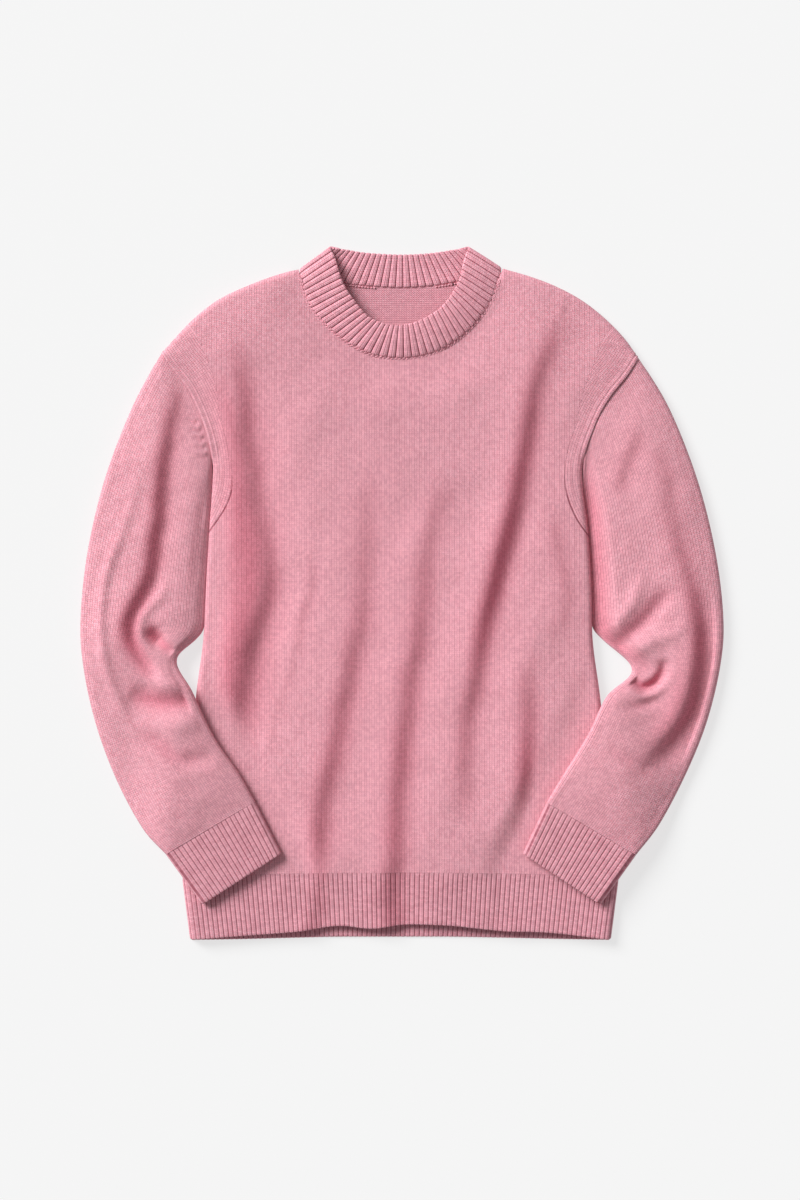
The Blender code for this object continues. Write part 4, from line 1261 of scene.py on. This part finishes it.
def seamPoints(path, setting):
    # places at one pitch along a seam, off to its outer side, and the seam's direction there
    path = spread(path, 400)
    reach = lengths(path)[-1]
    line = cut(path, 0, reach, int(reach / setting["pitch"]))
    step = np.gradient(line, axis=0)
    line = line - planNormals(line) * setting["off"]
    return line, np.arctan2(step[:, 1], step[:, 0])


def makeSeamStitches():
    # linking stitches: a chain under the front of the collar, and a row of loops inside its back
    setting = stitches["chain"]
    line, heading = seamPoints([row[:2] for row in neck["sections"][1:12]], setting)
    lean = np.radians(setting["lean"])
    points, turns = [], []
    for shift, turn in ((-0.5, lean), (0.5, -lean)):
        along = np.stack([np.cos(heading), np.sin(heading)], axis=1)
        across = np.stack([-along[:, 1], along[:, 0]], axis=1)
        points.append(line + across * shift + along * shift * setting["pitch"] * 0.25)
        turns.append(heading + turn)
    points = np.concatenate(points)
    points = np.column_stack([points, np.full(len(points), setting["z"])])
    chain = stitchRow("neckChain", points, np.concatenate(turns), setting["size"])
    setting = stitches["beads"]
    line, heading = seamPoints([row[:2] for row in neck["sections"][13:20]][::-1], setting)
    shown = np.zeros(len(line), bool)
    for low, high in stitches["spans"]:
        shown |= (line[:, 0] > low) & (line[:, 0] < high)
    points = np.column_stack([line, np.full(len(line), setting["z"])])[shown]
    return chain, stitchRow("backBeads", points, heading[shown], setting["size"])


pieces = {
    "frontPanel": makeFront(),
    "hemFront": makeFrontHem(),
    "backPanel": makeBack(),
    "hemBack": makeBackHem(),
}
print("body made")
for side in ("left", "right"):
    pieces["sleeve" + side.title()] = makeSleeve(side)
    pieces["cuff" + side.title()] = makeCuff(side)
print("sleeves made")
pieces["neckBand"] = makeNeckband()
pieces["neckChain"], pieces["backBeads"] = makeSeamStitches()
print("neckband made")

studio = {  # in metres
    "fill": 0.315,
    "paper": 0.69,
    "floorReach": 6.0,
    "key": {"place": (-1.8, 1.5, 1.6), "spread": 28, "power": 4.06},
    "camera": (-0.002, -0.0065, 3.0),
    "sensor": 36,
    "clothTop": 0.012,
    "viewHeight": 1.2,  # what the view takes in at the top of the cloth
}


def makeStage():
    mesh = bpy.data.meshes.new("floor")
    reach = studio["floorReach"]
    corners = [(-reach, -reach, 0), (reach, -reach, 0), (reach, reach, 0), (-reach, reach, 0)]
    mesh.from_pydata(corners, [], [(0, 1, 2, 3)])
    paper = {
        "Base Color": (0.2, 0.2, 0.2, 1),
        "Emission Color": (1, 1, 1, 1),
        "Emission Strength": studio["paper"],
        "Roughness": 0.9,
    }
    mesh.materials.append(Shader("floorPaper").paint(paper))
    addObject("floor", mesh)

    world = bpy.data.worlds.new("studio")
    world.use_nodes = True
    background = world.node_tree.nodes["Background"]
    background.inputs["Color"].default_value = (1, 1, 1, 1)
    background.inputs["Strength"].default_value = studio["fill"]
    bpy.context.scene.world = world

    key = studio["key"]
    lamp = bpy.data.lights.new("key", "SUN")
    lamp.angle = np.radians(key["spread"])
    lamp.energy = key["power"]
    holder = addObject("key", lamp)
    holder.location = key["place"]
    holder.rotation_euler = (-Vector(key["place"])).to_track_quat("-Z", "Y").to_euler()

    camera = addObject("camera", bpy.data.cameras.new("camera"))
    camera.location = studio["camera"]
    camera.data.sensor_width = studio["sensor"]
    height = studio["camera"][2] - studio["clothTop"]
    camera.data.lens = studio["sensor"] * height / studio["viewHeight"]
    bpy.context.scene.camera = camera
    bpy.context.scene.view_settings.view_transform = "Standard"


makeStage()
print("stage made")

cloth = {  # node, slot, flat width, length and area, all round on a tube, and what it rests on
    "frontPanel": ("front", "knit", 0.46, 0.62, 0.245, ["back"]),
    "backPanel": ("back", "knit", 0.44, 0.62, 0.245, ["floor"]),
    "hemFront": ("hem_front", "rib", 0.44, 0.062, 0.026, ["hem_back"]),
    "hemBack": ("hem_back", "rib", 0.43, 0.064, 0.027, ["floor"]),
    "sleeveLeft": ("sleeve_left", "knit", 0.26, 0.47, 0.115, ["front"]),
    "sleeveRight": ("sleeve_right", "knit", 0.26, 0.47, 0.115, ["front"]),
    "cuffLeft": ("cuff_left", "rib", 0.21, 0.058, 0.012, ["hem_front"]),
    "cuffRight": ("cuff_right", "rib", 0.21, 0.058, 0.012, ["hem_front"]),
    "neckBand": ("neckband", "rib", 0.48, 0.032, 0.0145, ["front", "back"]),
}
trims = {"neckChain": "rib", "backBeads": "knit"}
for name, piece in pieces.items():
    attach(piece, "root")
    if name in trims:
        continue
    node, slot, width, length, area, restsOn = cloth[name]
    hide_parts(node)
